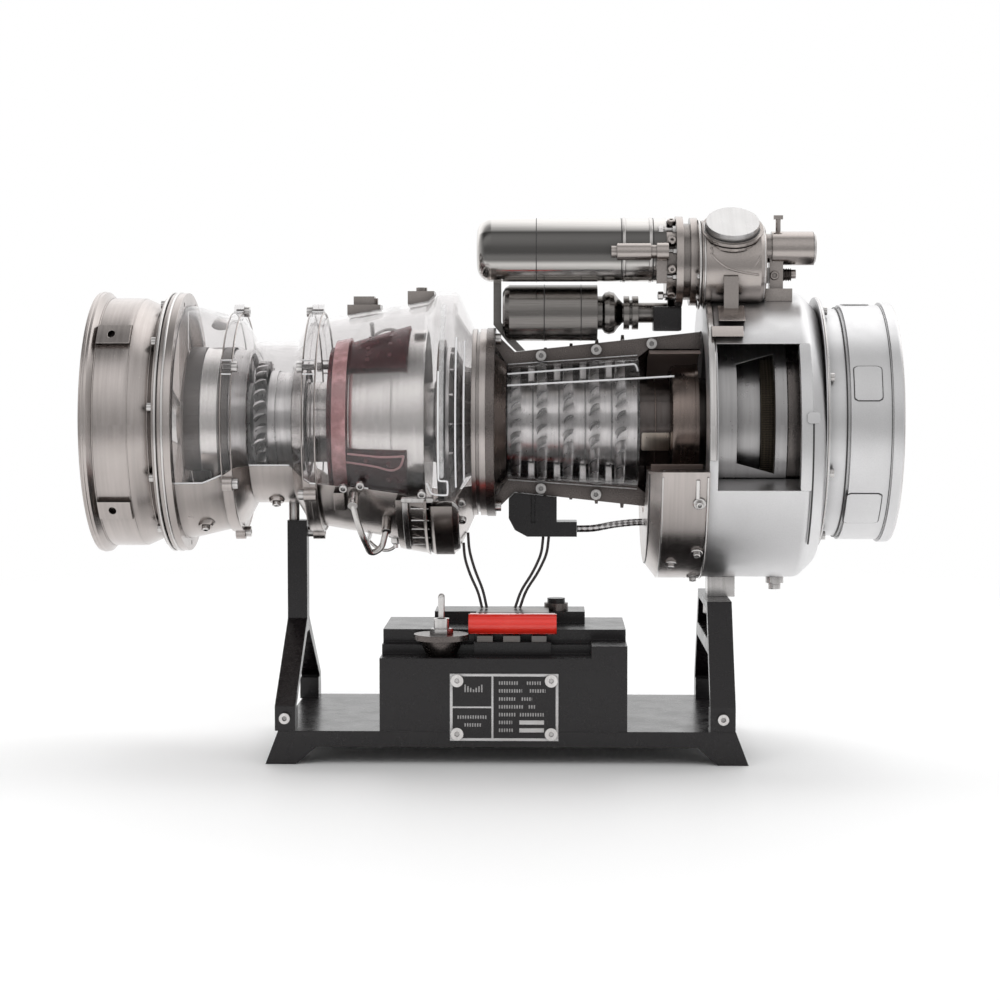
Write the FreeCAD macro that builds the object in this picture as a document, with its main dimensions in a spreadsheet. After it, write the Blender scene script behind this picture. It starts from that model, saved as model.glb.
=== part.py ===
"""Cut-away display model of a turboshaft engine on its powered stand.

Every length is in millimetres.  The engine is drawn in a frame of its own, with X running along the
engine axis from the exhaust lip towards the intake, and is then placed on the stand.  The finished
model stands on Z = 0, with the middle of the engine over the origin.
"""
import FreeCAD, Part

import math
import os
import re

import Sketcher
from FreeCAD import Placement, Rotation, Vector

SIZES = (
    # engine stations, from the exhaust lip to the intake lip
    ("lip_width", 2.4), ("lip_cone", 1.8), ("bell_length", 16.0),
    ("duct_length", 24.8), ("duct_flange", 2.2), ("ring_thick", 4.3), ("power_case_length", 16.3),
    ("waist_flange", 3.4), ("waist_cone", 4.6), ("waist_length", 15.1), ("waist_flare", 4.9),
    ("burner_flange", 2.1), ("burner_length", 39.6), ("bulge_length", 16.3), ("rear_ring_length", 5.0),
    ("compressor_flange", 2.9), ("compressor_length", 52.9), ("drum_length", 20.5),
    ("frame_length", 40.0), ("intake_flange", 1.4), ("groove_length", 7.2), ("intake_length", 14.4),
    ("intake_lip", 4.0),
    # engine radii
    ("axis_height", 116.6), ("duct_lip_radius", 46.6), ("duct_radius", 44.5), ("duct_neck_radius", 40.4),
    ("duct_flange_radius", 45.4), ("duct_round", 9.0), ("ring_radius", 46.3), ("power_case_radius", 42.1),
    ("power_case_end_radius", 38.2), ("waist_flange_radius", 39.6), ("waist_radius", 29.0),
    ("burner_flange_radius", 39.6), ("burner_radius", 37.2), ("burner_end_radius", 43.6),
    ("bulge_radius", 46.9), ("bulge_end_radius", 34.4), ("rear_ring_radius", 33.5),
    ("compressor_flange_radius", 33.8), ("funnel_bore_radius", 27.0), ("funnel_radius", 25.2),
    ("case_front_radius", 32.4), ("frame_radius", 50.9), ("frame_drop", 4.5), ("hidden_bore", 24.0),
    ("intake_flange_radius", 44.6), ("groove_radius", 40.6), ("groove_bore_radius", 38.0),
    ("intake_radius", 41.9), ("intake_lip_radius", 42.8), ("drum_radius", 55.8),
    ("drum_bevel_length", 4.5), ("drum_bevel_depth", 5.8),
    # walls, clearances and rounds
    ("sheet_wall", 1.0), ("case_wall", 1.4), ("window_wall", 0.8), ("frame_wall", 2.2),
    ("fit_gap", 0.3), ("running_gap", 0.05), ("flat_gap", 0.4), ("rotor_gap", 0.8), ("case_clear", 0.5),
    ("waist_step", 0.8), ("bulge_rise", 3.6), ("bulge_fall", 5.6), ("bulge_round", 2.6),
    ("shoulder_round", 6.0),
    # cut lines and windows
    ("cut_depth", 20.6), ("cut_rise", 5.8), ("cut_fall", 5.6), ("drum_cut", 15.5),
    ("window_rise", 27.7), ("window_drop", 22.0), ("window_depth", 20.0), ("side_reach", 60.0),
    ("window_inset", 2.9), ("window_front_inset", 5.4), ("ledge_rise", 3.3), ("ledge_reach", 13.4),
    ("ledge_thick", 1.3),
    # compressor
    ("stage_pitch", 9.3), ("stage_count", 5), ("blade_count", 20), ("stator_count", 30),
    ("hub_rear_radius", 13.6), ("hub_front_radius", 15.8), ("tip_rear_radius", 19.4),
    ("tip_front_radius", 22.7), ("blade_chord", 4.6), ("blade_thick", 0.7), ("blade_twist", 32.0),
    ("blade_lead", 0.7), ("rotor_margin", 4.3), ("impeller_radius", 27.0), ("impeller_length", 13.6),
    ("impeller_back", 9.2), ("impeller_vanes", 16),
    # shafts, bearings and motor
    ("shaft_radius", 4.0), ("power_shaft_radius", 3.0), ("bearing_radius", 7.0), ("bearing_width", 4.0),
    ("motor_radius", 10.0), ("motor_length", 25.0), ("motor_plate", 2.0), ("motor_stand_off", 1.0),
    ("spigot_radius", 1.5), ("spigot_length", 5.0), ("inlet_hub_wall", 1.6), ("inlet_hub_radius", 15.8),
    ("inlet_hub_reach", 11.0), ("vane_count", 8), ("liner_tube_radius", 37.6), ("liner_tube_wall", 1.2),
    ("second_tube_length", 12.3), ("port_start", 8.0), ("port_length", 13.1), ("port_low", 16.9),
    ("port_high", 24.3), ("port_taper", 3.6), ("port_depth", 20.0), ("inner_tube_radius", 30.5),
    ("inner_tube_length", 8.6), ("vane_chord", 8.0), ("vane_thick", 1.2),
    # turbines
    ("band_radius", 26.5), ("band_wall", 1.2), ("band_length", 6.4), ("second_band_length", 7.6),
    ("power_hub_radius", 14.0), ("power_blades", 24), ("strut_count", 5), ("turbine_hub_radius", 18.0),
    ("turbine_tip_radius", 21.8), ("turbine_row_length", 5.2), ("turbine_blades", 30),
    ("nozzle_radius", 20.9), ("nozzle_vanes", 22),
    # combustor
    ("liner_rear_radius", 26.6), ("liner_front_radius", 34.6), ("liner_length", 28.0),
    ("liner_wall", 0.9), ("liner_set_back", 5.1), ("liner_cut_low", 9.7), ("liner_cut_high", 19.4),
    ("barrel_radius", 14.4), ("barrel_wall", 1.2), ("diffuser_radius", 29.6), ("diffuser_thick", 2.2),
    # flanges and screws
    ("split_thick", 2.6), ("split_width", 6.2), ("split_screw_inset", 2.35), ("lug_radius", 2.7),
    ("screw_radius", 1.0), ("head_radius", 1.9), ("head_height", 2.0), ("socket_radius", 0.85),
    ("socket_depth", 1.0), ("small_screw", 0.8), ("duct_screw_circle", 43.6), ("duct_screw_count", 11),
    ("flange_screw_inset", 1.9), ("flange_screw_count", 8), ("rear_screw_inset", 3.3),
    # accessories on top
    ("starter_set_back", 79.9), ("starter_length", 66.6), ("starter_radius", 11.2), ("starter_near", 8.0),
    ("starter_round", 5.2), ("tank_set_back", 70.9), ("tank_length", 33.8),
    ("tank_radius", 10.0), ("tank_rise", 6.8), ("neck_of_tank", 3.6), ("strut_thick", 2.0),
    ("clamp_radius", 13.6), ("clamp_thick", 3.4), ("disc_radius", 16.0), ("disc_thick", 2.5),
    ("clamp_drop", 4.2), ("servo_radius", 3.0), ("servo_length", 19.4), ("servo_near", 22.5),
    ("servo_drop", 1.3), ("control_length", 23.4), ("control_radius", 15.3), ("control_near", 14.0),
    ("control_drop", 5.4), ("neck_radius", 9.9), ("neck_length", 15.2), ("cap_radius", 9.2),
    ("cap_thick", 2.4), ("cap_tilt", 36.0), ("actuator_radius", 5.9), ("actuator_length", 18.0),
    ("actuator_rise", 5.6),
    # accessories below
    ("exciter_length", 24.4), ("exciter_depth", 12.0), ("exciter_drop", 15.7), ("tongue_drop", 10.4),
    ("hose_radius", 1.25), ("pipe_radius", 1.1), ("wire_radius", 0.5), ("wire_pitch", 1.7),
    # stand
    ("base_rear_margin", 6.8), ("base_front_margin", 8.8), ("base_width", 88.0), ("base_top", 11.5),
    ("base_under", 6.0), ("foot_length", 10.5), ("foot_run", 7.0), ("foot_width", 16.0), ("edge_slope", 4.4),
    ("leg_foot", 4.6), ("post_thick", 4.4), ("post_top", 19.0), ("leg_screw_height", 16.0),
    ("rear_leg_set_back", 0.75), ("rear_leg_width", 7.0), ("rear_leg_half", 3.6), ("rear_leg_split", 46.0),
    ("rear_pin_length", 6.3), ("rear_pin_radius", 1.9), ("rear_pin_offset", 1.4), ("front_leg_set", 5.45),
    ("front_leg_width", 8.6), ("mount_rise", 6.9), ("front_leg_spread", 24.0), ("leg_thick", 5.0),
    ("crossbar_low", 36.6), ("crossbar_thick", 4.9), ("top_bar_thick", 2.9), ("mount_width", 9.7),
    ("mount_depth", 12.0), ("mount_stud_radius", 1.5), ("mount_nut", 3.6), ("mount_nut_flats", 7.0),
    # control box
    ("box_length", 85.0), ("box_centre", 4.1), ("box_wall", 2.0), ("box_front_top", 36.7),
    ("box_step_top", 40.0), ("box_middle_top", 44.6), ("box_rear_top", 48.6), ("box_front_depth", 12.2),
    ("box_step_depth", 6.3), ("box_rear_depth", 57.0), ("box_tail_depth", 80.0), ("box_shoulder_top", 41.0),
    ("box_shoulder_left", 34.3), ("box_rear_left", -21.4), ("box_rear_right", 32.6), ("box_rear_inset", 39.4),
    ("plate_width", 37.1), ("plate_height", 23.2), ("plate_thick", 0.8), ("plate_low", 8.4),
    ("plate_centre", 4.4), ("plate_screw_inset", 2.4), ("plate_screw_radius", 2.2),
    ("plate_screw_height", 0.9),
    ("battery_length", 42.0), ("battery_width", 24.0), ("battery_height", 16.0), ("battery_left", -6.0),
    ("board_length", 30.0), ("board_width", 20.0), ("board_thick", 1.6), ("board_left", -30.0),
    ("board_inset", 34.0), ("board_rise", 4.0),
    # switches
    ("toggle_place", -17.5), ("toggle_inset", 8.6), ("toggle_pad_radius", 5.2), ("toggle_pad_height", 5.5),
    ("toggle_disc_radius", 9.5), ("toggle_disc_thick", 2.0), ("bushing_radius", 2.7), ("bushing_height", 5.4),
    ("nut_across", 7.0), ("nut_thick", 1.9), ("switch_radius", 5.5), ("switch_depth", 9.0),
    ("lever_length", 7.4), ("lever_radius", 1.2), ("lever_ball_radius", 1.9), ("lever_socket_radius", 2.1),
    ("lever_throat", 1.8), ("lever_deep", 3.0),
    ("guard_place", 7.1), ("cradle_length", 26.8), ("cradle_inset", 9.0), ("cradle_low_top", 41.2),
    ("cradle_neck", 1.1), ("cradle_top", 48.8), ("cradle_depth", 38.0), ("housing_inset", 21.4),
    ("cheek_width", 1.7), ("hinge_inset", 17.5), ("hinge_height", 48.0), ("hinge_radius", 0.8),
    ("hinge_round", 1.8), ("guard_inset", 9.7), ("guard_low", 44.1), ("guard_top", 50.7),
    ("guard_back_inset", 15.3), ("guard_wall", 1.1), ("wire_plate_thick", 1.4), ("contact_height", 2.2),
    ("button_place", 22.3), ("button_inset", 44.0), ("button_radius", 3.2), ("button_proud", 1.7),
    ("button_stem", 4.0), ("button_collar_radius", 4.3), ("button_collar_height", 2.8),
)
SHEET_NAME = "Sizes"

doc = FreeCAD.newDocument("turboshaft_model")
sheet = doc.addObject("Spreadsheet::Sheet", SHEET_NAME)
for row, (alias, number) in enumerate(SIZES, start=1):
    sheet.set(f"A{row}", alias)
    sheet.set(f"B{row}", str(number))
    sheet.setAlias(f"B{row}", alias)
doc.recompute()

ALIASES = {alias for alias, number in SIZES}

# Places along the engine axis, each the sum of the sections before it.
STATIONS = {}
running_sum = []
for station, section in (
    ("duct_end", "duct_length"), ("ring_start", "duct_flange"), ("power_case_start", "ring_thick"),
    ("waist_flange_start", "power_case_length"), ("cone_start", "waist_flange"),
    ("waist_start", "waist_cone"), ("waist_end", "waist_length"), ("rear_flange_start", "waist_flare"),
    ("burner_start", "burner_flange"), ("bulge_start", "burner_length"), ("bulge_end", "bulge_length"),
    ("compressor_start", "rear_ring_length"), ("funnel_start", "compressor_flange"),
    ("drum_start", "compressor_length"), ("frame_start", "drum_length"), ("frame_end", "frame_length"),
    ("groove_start", "intake_flange"), ("intake_start", "groove_length"),
    ("lip_start", "intake_length"), ("engine_length", "intake_lip"),
):
    running_sum.append(section)
    STATIONS[station] = "(" + " + ".join(running_sum) + ")"
STATIONS["rotor_start"] = f"({STATIONS['funnel_start']} + rotor_margin)"
STATIONS["rotor_end"] = f"({STATIONS['rotor_start']} + stage_pitch * stage_count)"
STATIONS["motor_start"] = f"({STATIONS['rotor_end']} + bearing_width + 1.5 + motor_stand_off)"
STATIONS["starter_start"] = f"({STATIONS['frame_start']} - starter_set_back)"
STATIONS["tank_start"] = f"({STATIONS['frame_start']} - tank_set_back)"
STATIONS["clamp_start"] = f"({STATIONS['starter_start']} + starter_length)"
STATIONS["disc_start"] = f"({STATIONS['clamp_start']} + clamp_thick)"
STATIONS["control_start"] = f"({STATIONS['disc_start']} + 3 * disc_thick)"
STATIONS["control_end"] = f"({STATIONS['control_start']} + control_length)"

# Heights above the engine axis of the accessories, each standing on the one below it.
STATIONS["tank_height"] = "(case_front_radius + tank_rise)"
STATIONS["starter_height"] = "(case_front_radius + tank_rise + tank_radius + starter_radius + 2 * flat_gap)"
for accessory in ("clamp", "servo", "control"):
    STATIONS[accessory + "_height"] = f"({STATIONS['starter_height']} - {accessory}_drop)"

# Places on the stand: the legs follow the engine, and the switches follow the front of the base.
half_engine = f"{STATIONS['engine_length']} / 2"
STATIONS["rear_leg_place"] = f"({STATIONS['waist_end']} - {half_engine} - rear_leg_set_back)"
STATIONS["front_leg_place"] = f"({STATIONS['frame_start']} - {half_engine} + front_leg_set)"
STATIONS["rear_leg_top"] = "(axis_height - waist_radius - rear_pin_length)"
STATIONS["front_leg_top"] = "(axis_height - frame_drop - frame_radius - mount_rise)"
STATIONS["post_place"] = "(base_width / 2 - leg_foot)"
for name, inset in (
    ("toggle_near", "toggle_inset"), ("cradle_near", "cradle_inset"), ("cradle_rear", "cradle_depth"),
    ("housing_near", "housing_inset"), ("hinge_place", "hinge_inset"), ("guard_near", "guard_inset"),
    ("guard_back", "guard_back_inset"), ("button_back", "button_inset"), ("board_near", "board_inset"),
    ("box_rear_near", "box_rear_inset"), ("box_rear_edge", "box_rear_depth"),
    ("box_tail_edge", "box_tail_depth"),
):
    STATIONS[name] = f"({inset} - base_width / 2)"


def spelled(text):
    """Replace each station's name in an expression by its sum of sections."""
    return re.sub(r"[a-z_]+", lambda word: STATIONS.get(word[0], word[0]), text)


def bound(text):
    """Turn plain words into an expression on the sheet's cells."""
    return re.sub(r"[a-z_]+", lambda word: f"{SHEET_NAME}.{word[0]}" if word[0] in ALIASES else word[0],
                  spelled(text))


def value(text):
    """Number that an expression has now."""
    return float(sheet.evalExpression(spelled(text)))


parts = []


def keep(item, label):
    """Give a finished sub-part the label that names its file."""
    item.Label = label
    parts.append(item)
    return item


def on_engine(item, angle=0.0):
    """Place a sub-part that is drawn along the engine axis, turned about that axis."""
    item.Placement = Placement(Vector(0, 0, 0), Rotation(Vector(1, 0, 0), angle))
    item.setExpression("Placement.Base.x", bound("-engine_length / 2"))
    item.setExpression("Placement.Base.z", bound("axis_height"))
    return item


def new_body(name):
    """Empty body for one sub-part."""
    return doc.addObject("PartDesign::Body", name + "_body")


def sketch_on(body, role, offset="0"):
    """Sketch on one of the body's own origin planes, moved along the plane's normal."""
    sketch = body.newObject("Sketcher::SketchObject", body.Name + "_outline")
    plane = next(item for item in body.Origin.OriginFeatures if item.Role == role)
    sketch.AttachmentSupport = [(plane, "")]
    sketch.MapMode = "FlatFace"
    sketch.setExpression("AttachmentOffset.Base.z", bound(offset))
    return sketch


def tie(sketch, kind, place, text):
    """Hold one coordinate of a sketch point, or a radius, to an expression."""
    index = sketch.addConstraint(Sketcher.Constraint(kind, *place, value(text)))
    sketch.setExpression(f"Constraints[{index}]", bound(text))


def add_loop(sketch, corners):
    """Draw one closed outline: a list of corners, or a circle as (x, y, radius)."""
    if isinstance(corners, tuple):
        centre_x, centre_y, radius = corners
        centre = Vector(value(centre_x), value(centre_y), 0)
        ring = sketch.addGeometry(Part.Circle(centre, Vector(0, 0, 1), value(radius)), False)
        tie(sketch, "DistanceX", (-1, 1, ring, 3), centre_x)
        tie(sketch, "DistanceY", (-1, 1, ring, 3), centre_y)
        tie(sketch, "Radius", (ring,), radius)
        return
    first = sketch.GeometryCount
    points = [Vector(value(across), value(up), 0) for across, up in corners]
    count = len(points)
    for index, point in enumerate(points):
        sketch.addGeometry(Part.LineSegment(point, points[(index + 1) % count]), False)
    for index in range(count):
        following = first + (index + 1) % count
        sketch.addConstraint(Sketcher.Constraint("Coincident", first + index, 2, following, 1))
    for index, (across, up) in enumerate(corners):
        tie(sketch, "DistanceX", (-1, 1, first + index, 1), across)
        tie(sketch, "DistanceY", (-1, 1, first + index, 1), up)


def turn(body, corners, sweep=360.0):
    """Revolve an outline of (station, radius) corners about the engine axis.

    A part turn starts at the top and goes over the near side.
    """
    sketch = sketch_on(body, "XZ_Plane")
    add_loop(sketch, corners)
    feature = body.newObject("PartDesign::Revolution", body.Name + "_turn")
    feature.Profile = sketch
    feature.ReferenceAxis = (sketch, ["H_Axis"])
    feature.Angle = sweep
    doc.recompute([body], True)
    return feature


def pad(body, role, loops, low, high):
    """Add the solid between two offsets of a plane; on XZ_Plane the offsets are Y values."""
    length = f"({high}) - ({low})"
    start = f"-({high})" if role == "XZ_Plane" else low
    sketch = sketch_on(body, role, start)
    for corners in loops:
        add_loop(sketch, corners)
    feature = body.newObject("PartDesign::Pad", body.Name + "_pad")
    feature.Profile = sketch
    feature.setExpression("Length", bound(length))
    return feature


def pocket(body, role, loops, low, high):
    """Remove the solid between two offsets of a plane, and check that something went."""
    before = body.Shape.Volume if body.Tip else 0.0
    start = f"-({low})" if role == "XZ_Plane" else high
    sketch = sketch_on(body, role, start)
    for corners in loops:
        add_loop(sketch, corners)
    feature = body.newObject("PartDesign::Pocket", body.Name + "_pocket")
    feature.Profile = sketch
    feature.setExpression("Length", bound(f"({high}) - ({low})"))
    doc.recompute([body], True)
    if not body.Shape.Volume < before - 0.01:
        raise RuntimeError(f"{body.Name}: a pocket removed nothing")
    return feature


def box_loop(left, right, low, high):
    """Corners of an upright rectangle."""
    return [(left, low), (right, low), (right, high), (left, high)]


def round_edges(body, radius, wanted):
    """Fillet every edge of the body's last feature that the test picks."""
    doc.recompute([body], True)
    tip = body.Tip
    names = [f"Edge{index}" for index, edge in enumerate(tip.Shape.Edges, start=1) if wanted(edge)]
    feature = body.newObject("PartDesign::Fillet", body.Name + "_round")
    feature.Base = (tip, names)
    feature.setExpression("Radius", bound(radius))
    doc.recompute([body], True)
    return feature


def rim_at(station, radius):
    """Test for the circular edge at one station and radius."""
    where, size = value(station), value(radius)

    def wanted(edge):
        if not isinstance(edge.Curve, Part.Circle):
            return False
        return abs(edge.Curve.Center.x - where) < 0.01 and abs(edge.Curve.Radius - size) < 0.01
    return wanted


def any_of(*tests):
    """Test that any of several edge tests picks."""
    return lambda edge: any(test(edge) for test in tests)


def shaped(name, shape):
    """Sub-part whose shape is set from Part's own functions."""
    feature = doc.addObject("Part::Feature", name + "_shape")
    feature.Shape = shape
    return feature


def tube(start, end, outer, inner=0.0):
    """Tube along X, as a plain shape; a rod when the inner radius is nought."""
    solid = Part.makeCylinder(outer, end - start, Vector(start, 0, 0), Vector(1, 0, 0))
    if inner > 0:
        solid = solid.cut(Part.makeCylinder(inner, end - start, Vector(start, 0, 0), Vector(1, 0, 0)))
    return solid


def turned_shape(corners):
    """Solid of revolution about X from (station, radius) numbers."""
    points = [Vector(along, 0, radius) for along, radius in corners]
    face = Part.Face(Part.makePolygon(points + points[:1]))
    return face.revolve(Vector(0, 0, 0), Vector(1, 0, 0), 360)


def polar(shape, count, offset=0.0):
    """Copies of a shape spaced evenly about the engine axis."""
    copies = []
    for index in range(int(count)):
        copy = shape.copy()
        copy.rotate(Vector(0, 0, 0), Vector(1, 0, 0), offset + 360.0 * index / int(count))
        copies.append(copy)
    return copies


def blade(middle, root, tip, chord, thick, stagger, twist, camber=0.18):
    """One curved blade standing on the hub, lofted from its root to its tip."""
    wires = []
    for radius, angle in ((root, stagger), ((root + tip) / 2, stagger + twist / 2), (tip, stagger + twist)):
        lean = math.radians(angle)
        outline = []
        for along, across in ((-0.5, 0.0), (0.0, camber + thick / chord / 2), (0.5, 0.0),
                              (0.0, camber - thick / chord / 2)):
            x_part, y_part = along * chord, across * chord
            x_turned = x_part * math.cos(lean) - y_part * math.sin(lean)
            y_turned = x_part * math.sin(lean) + y_part * math.cos(lean)
            outline.append(Vector(middle + x_turned, y_turned, radius))
        nose, over, tail, under = outline
        wires.append(Part.Wire([Part.Arc(nose, over, tail).toShape(), Part.Arc(tail, under, nose).toShape()]))
    return Part.makeLoft(wires, True, True)


def cap_screw(point, direction, length, scale=1.0):
    """Socket head screw: the head's seat at a point, the shank along a direction."""
    away = Vector(direction).normalize()
    head, shank = value("head_radius") * scale, value("screw_radius") * scale
    height, deep = value("head_height") * scale, value("socket_depth") * scale
    solid = Part.makeCylinder(head, height, point, away * -1)
    solid = solid.fuse(Part.makeCylinder(shank, length, point, away))
    mouth = point - away * (height - deep)
    socket = Part.makeCylinder(value("socket_radius") * scale, deep, mouth, away * -1)
    return solid.cut(socket)


def ring_point(station, radius, angle):
    """Point on a ring about the engine axis; the angle runs from the top over the near side."""
    turned_by = math.radians(angle)
    return Vector(station, -radius * math.sin(turned_by), radius * math.cos(turned_by))


def drill(body, circle, angles, radius, low, high):
    """Drill a ring of holes along X, at angles measured from the top over the near side."""
    loops = []
    for angle in angles:
        side, up = -math.sin(math.radians(angle)), math.cos(math.radians(angle))
        loops.append((f"({circle}) * {side:.6f}", f"({circle}) * {up:.6f}", radius))
    pocket(body, "YZ_Plane", loops, low, high)


def even_angles(count):
    """Evenly spaced angles for the screws of a ring."""
    return [360.0 * (index + 0.5) / int(value(count)) for index in range(int(value(count)))]


# Lugs of the waist flange and of the flange behind the combustor, lower half and upper half.
WAIST_LUGS = (121, 180, 239)
REAR_LUGS = (128, 180, 232)
UPPER_LUGS = (0, 60, 300)
REAR_SCREWS = (12, 168)


def add_lugs(body, angles, low, high, blind=0.0):
    """Ears on a casing flange, each with its screw hole."""
    for angle in angles:
        side, up = -math.sin(math.radians(angle)), math.cos(math.radians(angle))
        place = (f"waist_flange_radius * {side:.6f}", f"waist_flange_radius * {up:.6f}")
        pad(body, "YZ_Plane", [(*place, "lug_radius")], low, high)
    doc.recompute([body], True)
    drill(body, "waist_flange_radius", angles, "screw_radius + running_gap",
          f"{low} + {blind}", f"{high} + 0.5")


# Casings


def exhaust_duct():
    """Thin bell of the exhaust, with a rolled lip and a screwed flange."""
    body = new_body("exhaust_duct")
    turn(body, [
        ("0", "duct_lip_radius - sheet_wall"), ("0", "duct_lip_radius"), ("lip_width", "duct_lip_radius"),
        ("lip_width + lip_cone", "duct_radius"), ("bell_length", "duct_radius"),
        ("duct_end", "duct_neck_radius"),
        ("duct_end", "duct_flange_radius"), ("ring_start", "duct_flange_radius"),
        ("ring_start", "duct_neck_radius - sheet_wall"), ("duct_end", "duct_neck_radius - sheet_wall"),
        ("bell_length", "duct_radius - sheet_wall"), ("lip_width + lip_cone", "duct_radius - sheet_wall"),
        ("lip_width", "duct_lip_radius - sheet_wall"),
    ])
    round_edges(body, "duct_round", any_of(
        rim_at("bell_length", "duct_radius"), rim_at("bell_length", "duct_radius - sheet_wall")))
    drill(body, "duct_screw_circle", even_angles("duct_screw_count"), "small_screw + running_gap",
          "duct_end - 0.5", "ring_start + 0.5")
    return keep(on_engine(body), "exhaust_duct")


def power_casing_corners():
    """Corners of the casing round the power turbine and the waist, outside first."""
    shoulder, wall = "power_case_end_radius - waist_step", "case_wall"
    return [
        ("waist_flange_start", "power_case_end_radius"), ("waist_flange_start", "waist_flange_radius"),
        ("cone_start", "waist_flange_radius"), ("cone_start", shoulder),
        ("waist_start", "waist_radius"), ("waist_end", "waist_radius"),
        ("rear_flange_start", shoulder), ("rear_flange_start", "burner_flange_radius"),
        ("burner_start", "burner_flange_radius"), ("burner_start", f"{shoulder} - {wall}"),
        ("rear_flange_start", f"{shoulder} - {wall}"), ("waist_end", f"waist_radius - {wall}"),
        ("waist_start", f"waist_radius - {wall}"), ("cone_start", f"{shoulder} - {wall}"),
        ("waist_flange_start", f"power_case_end_radius - {wall}"),
        ("power_case_start", f"power_case_radius - {wall}"),
    ]


def burner_casing_corners():
    """Corners of the casing round the combustor and the compressor's outlet."""
    wall = "case_wall"
    return [
        ("burner_start", "burner_radius - case_wall"), ("burner_start", "burner_flange_radius"),
        ("burner_start + burner_flange", "burner_flange_radius"),
        ("burner_start + burner_flange", "burner_radius"), ("bulge_start", "burner_end_radius"),
        ("bulge_start + bulge_rise", "bulge_radius"), ("bulge_end - bulge_fall", "bulge_radius"),
        ("bulge_end", "bulge_end_radius"), ("bulge_end", f"bulge_end_radius - {wall}"),
        ("bulge_end - bulge_fall", f"bulge_radius - {wall}"),
        ("bulge_start + bulge_rise", f"bulge_radius - {wall}"),
        ("bulge_start", f"burner_end_radius - {wall}"),
        ("burner_start + burner_flange", "burner_radius - case_wall"),
    ]


def power_cut(far_edge, shift="0"):
    """Region of the side view on one side of the power casing's cut line."""
    low, high = f"-cut_depth + {shift}", f"cut_rise - cut_depth + {shift}"
    return [
        ("power_case_start", far_edge), ("power_case_start", low), ("waist_flange_start - 7", low),
        ("waist_flange_start", f"cut_rise / 2 - cut_depth + {shift}"), ("cone_start + 1", high),
        ("waist_end - 1", high), ("burner_start", low), ("burner_start", far_edge),
    ]


def burner_cut(far_edge, shift="0"):
    """Region of the side view on one side of the combustor casing's cut line."""
    return [
        ("burner_start", far_edge), ("burner_start", f"-cut_depth + {shift}"),
        ("burner_start + 17", f"-cut_depth - 1.4 + {shift}"),
        ("bulge_start - 9", f"-cut_depth - 3.2 + {shift}"),
        ("bulge_start + 2.6", f"-cut_depth - cut_fall + {shift}"),
        ("bulge_end - bulge_fall", f"-cut_depth - cut_fall + {shift}"),
        ("bulge_end - 2.6", f"-cut_depth - 1 + {shift}"),
        ("bulge_end + 1", f"-cut_depth - 1 + {shift}"), ("bulge_end + 1", far_edge),
    ]


def power_turbine_case():
    """Steel lower casing with the full ring that the exhaust is screwed to."""
    body = new_body("power_turbine_case")
    turn(body, [("ring_start", "power_case_radius - case_wall"), ("ring_start", "ring_radius"),
                ("power_case_start", "ring_radius"), ("power_case_start", "power_case_radius")]
         + power_casing_corners())
    pocket(body, "XZ_Plane", [power_cut("side_reach")], "-side_reach", "side_reach")
    drill(body, "duct_screw_circle", even_angles("duct_screw_count"), "small_screw + running_gap",
          "ring_start - 0.5", "power_case_start + 0.5")
    add_lugs(body, WAIST_LUGS, "waist_flange_start", "cone_start", 0.4)
    add_lugs(body, REAR_LUGS, "rear_flange_start", "burner_start", -0.5)
    return keep(on_engine(body), "power_turbine_case")


def power_turbine_window():
    """Clear upper shell over the turbines."""
    body = new_body("power_turbine_window")
    turn(body, [("power_case_start", "power_case_radius")] + power_casing_corners())
    pocket(body, "XZ_Plane", [power_cut("-side_reach", "fit_gap")], "-side_reach", "side_reach")
    add_lugs(body, UPPER_LUGS, "waist_flange_start", "cone_start", 0.4)
    add_lugs(body, UPPER_LUGS, "rear_flange_start", "burner_start", -0.5)
    return keep(on_engine(body), "power_turbine_window")


def combustor_case():
    """Steel lower casing of the combustor, with its round bulge."""
    body = new_body("combustor_case")
    turn(body, burner_casing_corners())
    round_edges(body, "bulge_round", any_of(
        rim_at("bulge_start + bulge_rise", "bulge_radius"), rim_at("bulge_end - bulge_fall", "bulge_radius")))
    pocket(body, "XZ_Plane", [burner_cut("side_reach")], "-side_reach", "side_reach")
    add_lugs(body, REAR_LUGS, "burner_start", "burner_start + burner_flange", -0.5)
    return keep(on_engine(body), "combustor_case")


def combustor_window():
    """Clear upper shell over the combustor."""
    body = new_body("combustor_window")
    turn(body, burner_casing_corners())
    pocket(body, "XZ_Plane", [burner_cut("-side_reach", "fit_gap")], "-side_reach", "side_reach")
    round_edges(body, "bulge_round", any_of(
        rim_at("bulge_start + bulge_rise", "bulge_radius"), rim_at("bulge_end - bulge_fall", "bulge_radius")))
    add_lugs(body, UPPER_LUGS, "burner_start", "burner_start + burner_flange", -0.5)
    return keep(on_engine(body), "combustor_window")


def rear_ring():
    """Grooved steel ring between the combustor and the compressor."""
    body = new_body("rear_ring")
    groove = "rear_ring_radius - 1.2"
    turn(body, [
        ("bulge_end", "funnel_bore_radius"), ("bulge_end", "rear_ring_radius"),
        ("bulge_end + 1.5", "rear_ring_radius"), ("bulge_end + 1.5", groove),
        ("bulge_end + 2.7", groove), ("bulge_end + 2.7", "rear_ring_radius"),
        ("compressor_start", "rear_ring_radius"), ("compressor_start", "funnel_bore_radius"),
    ])
    return keep(on_engine(body), "rear_ring")


def compressor_bore(where):
    """Bore of the compressor casing at a station, as an expression that follows the blade tips."""
    share = f"(({where}) - rotor_start) / (stage_pitch * stage_count)"
    return f"tip_rear_radius + (tip_front_radius - tip_rear_radius) * {share} + case_clear"


# Screws along the split flanges.
SPLIT_STATIONS = ("rotor_start + 11.9", "rotor_start + 31.7", "rotor_start + 51.5")


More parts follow.
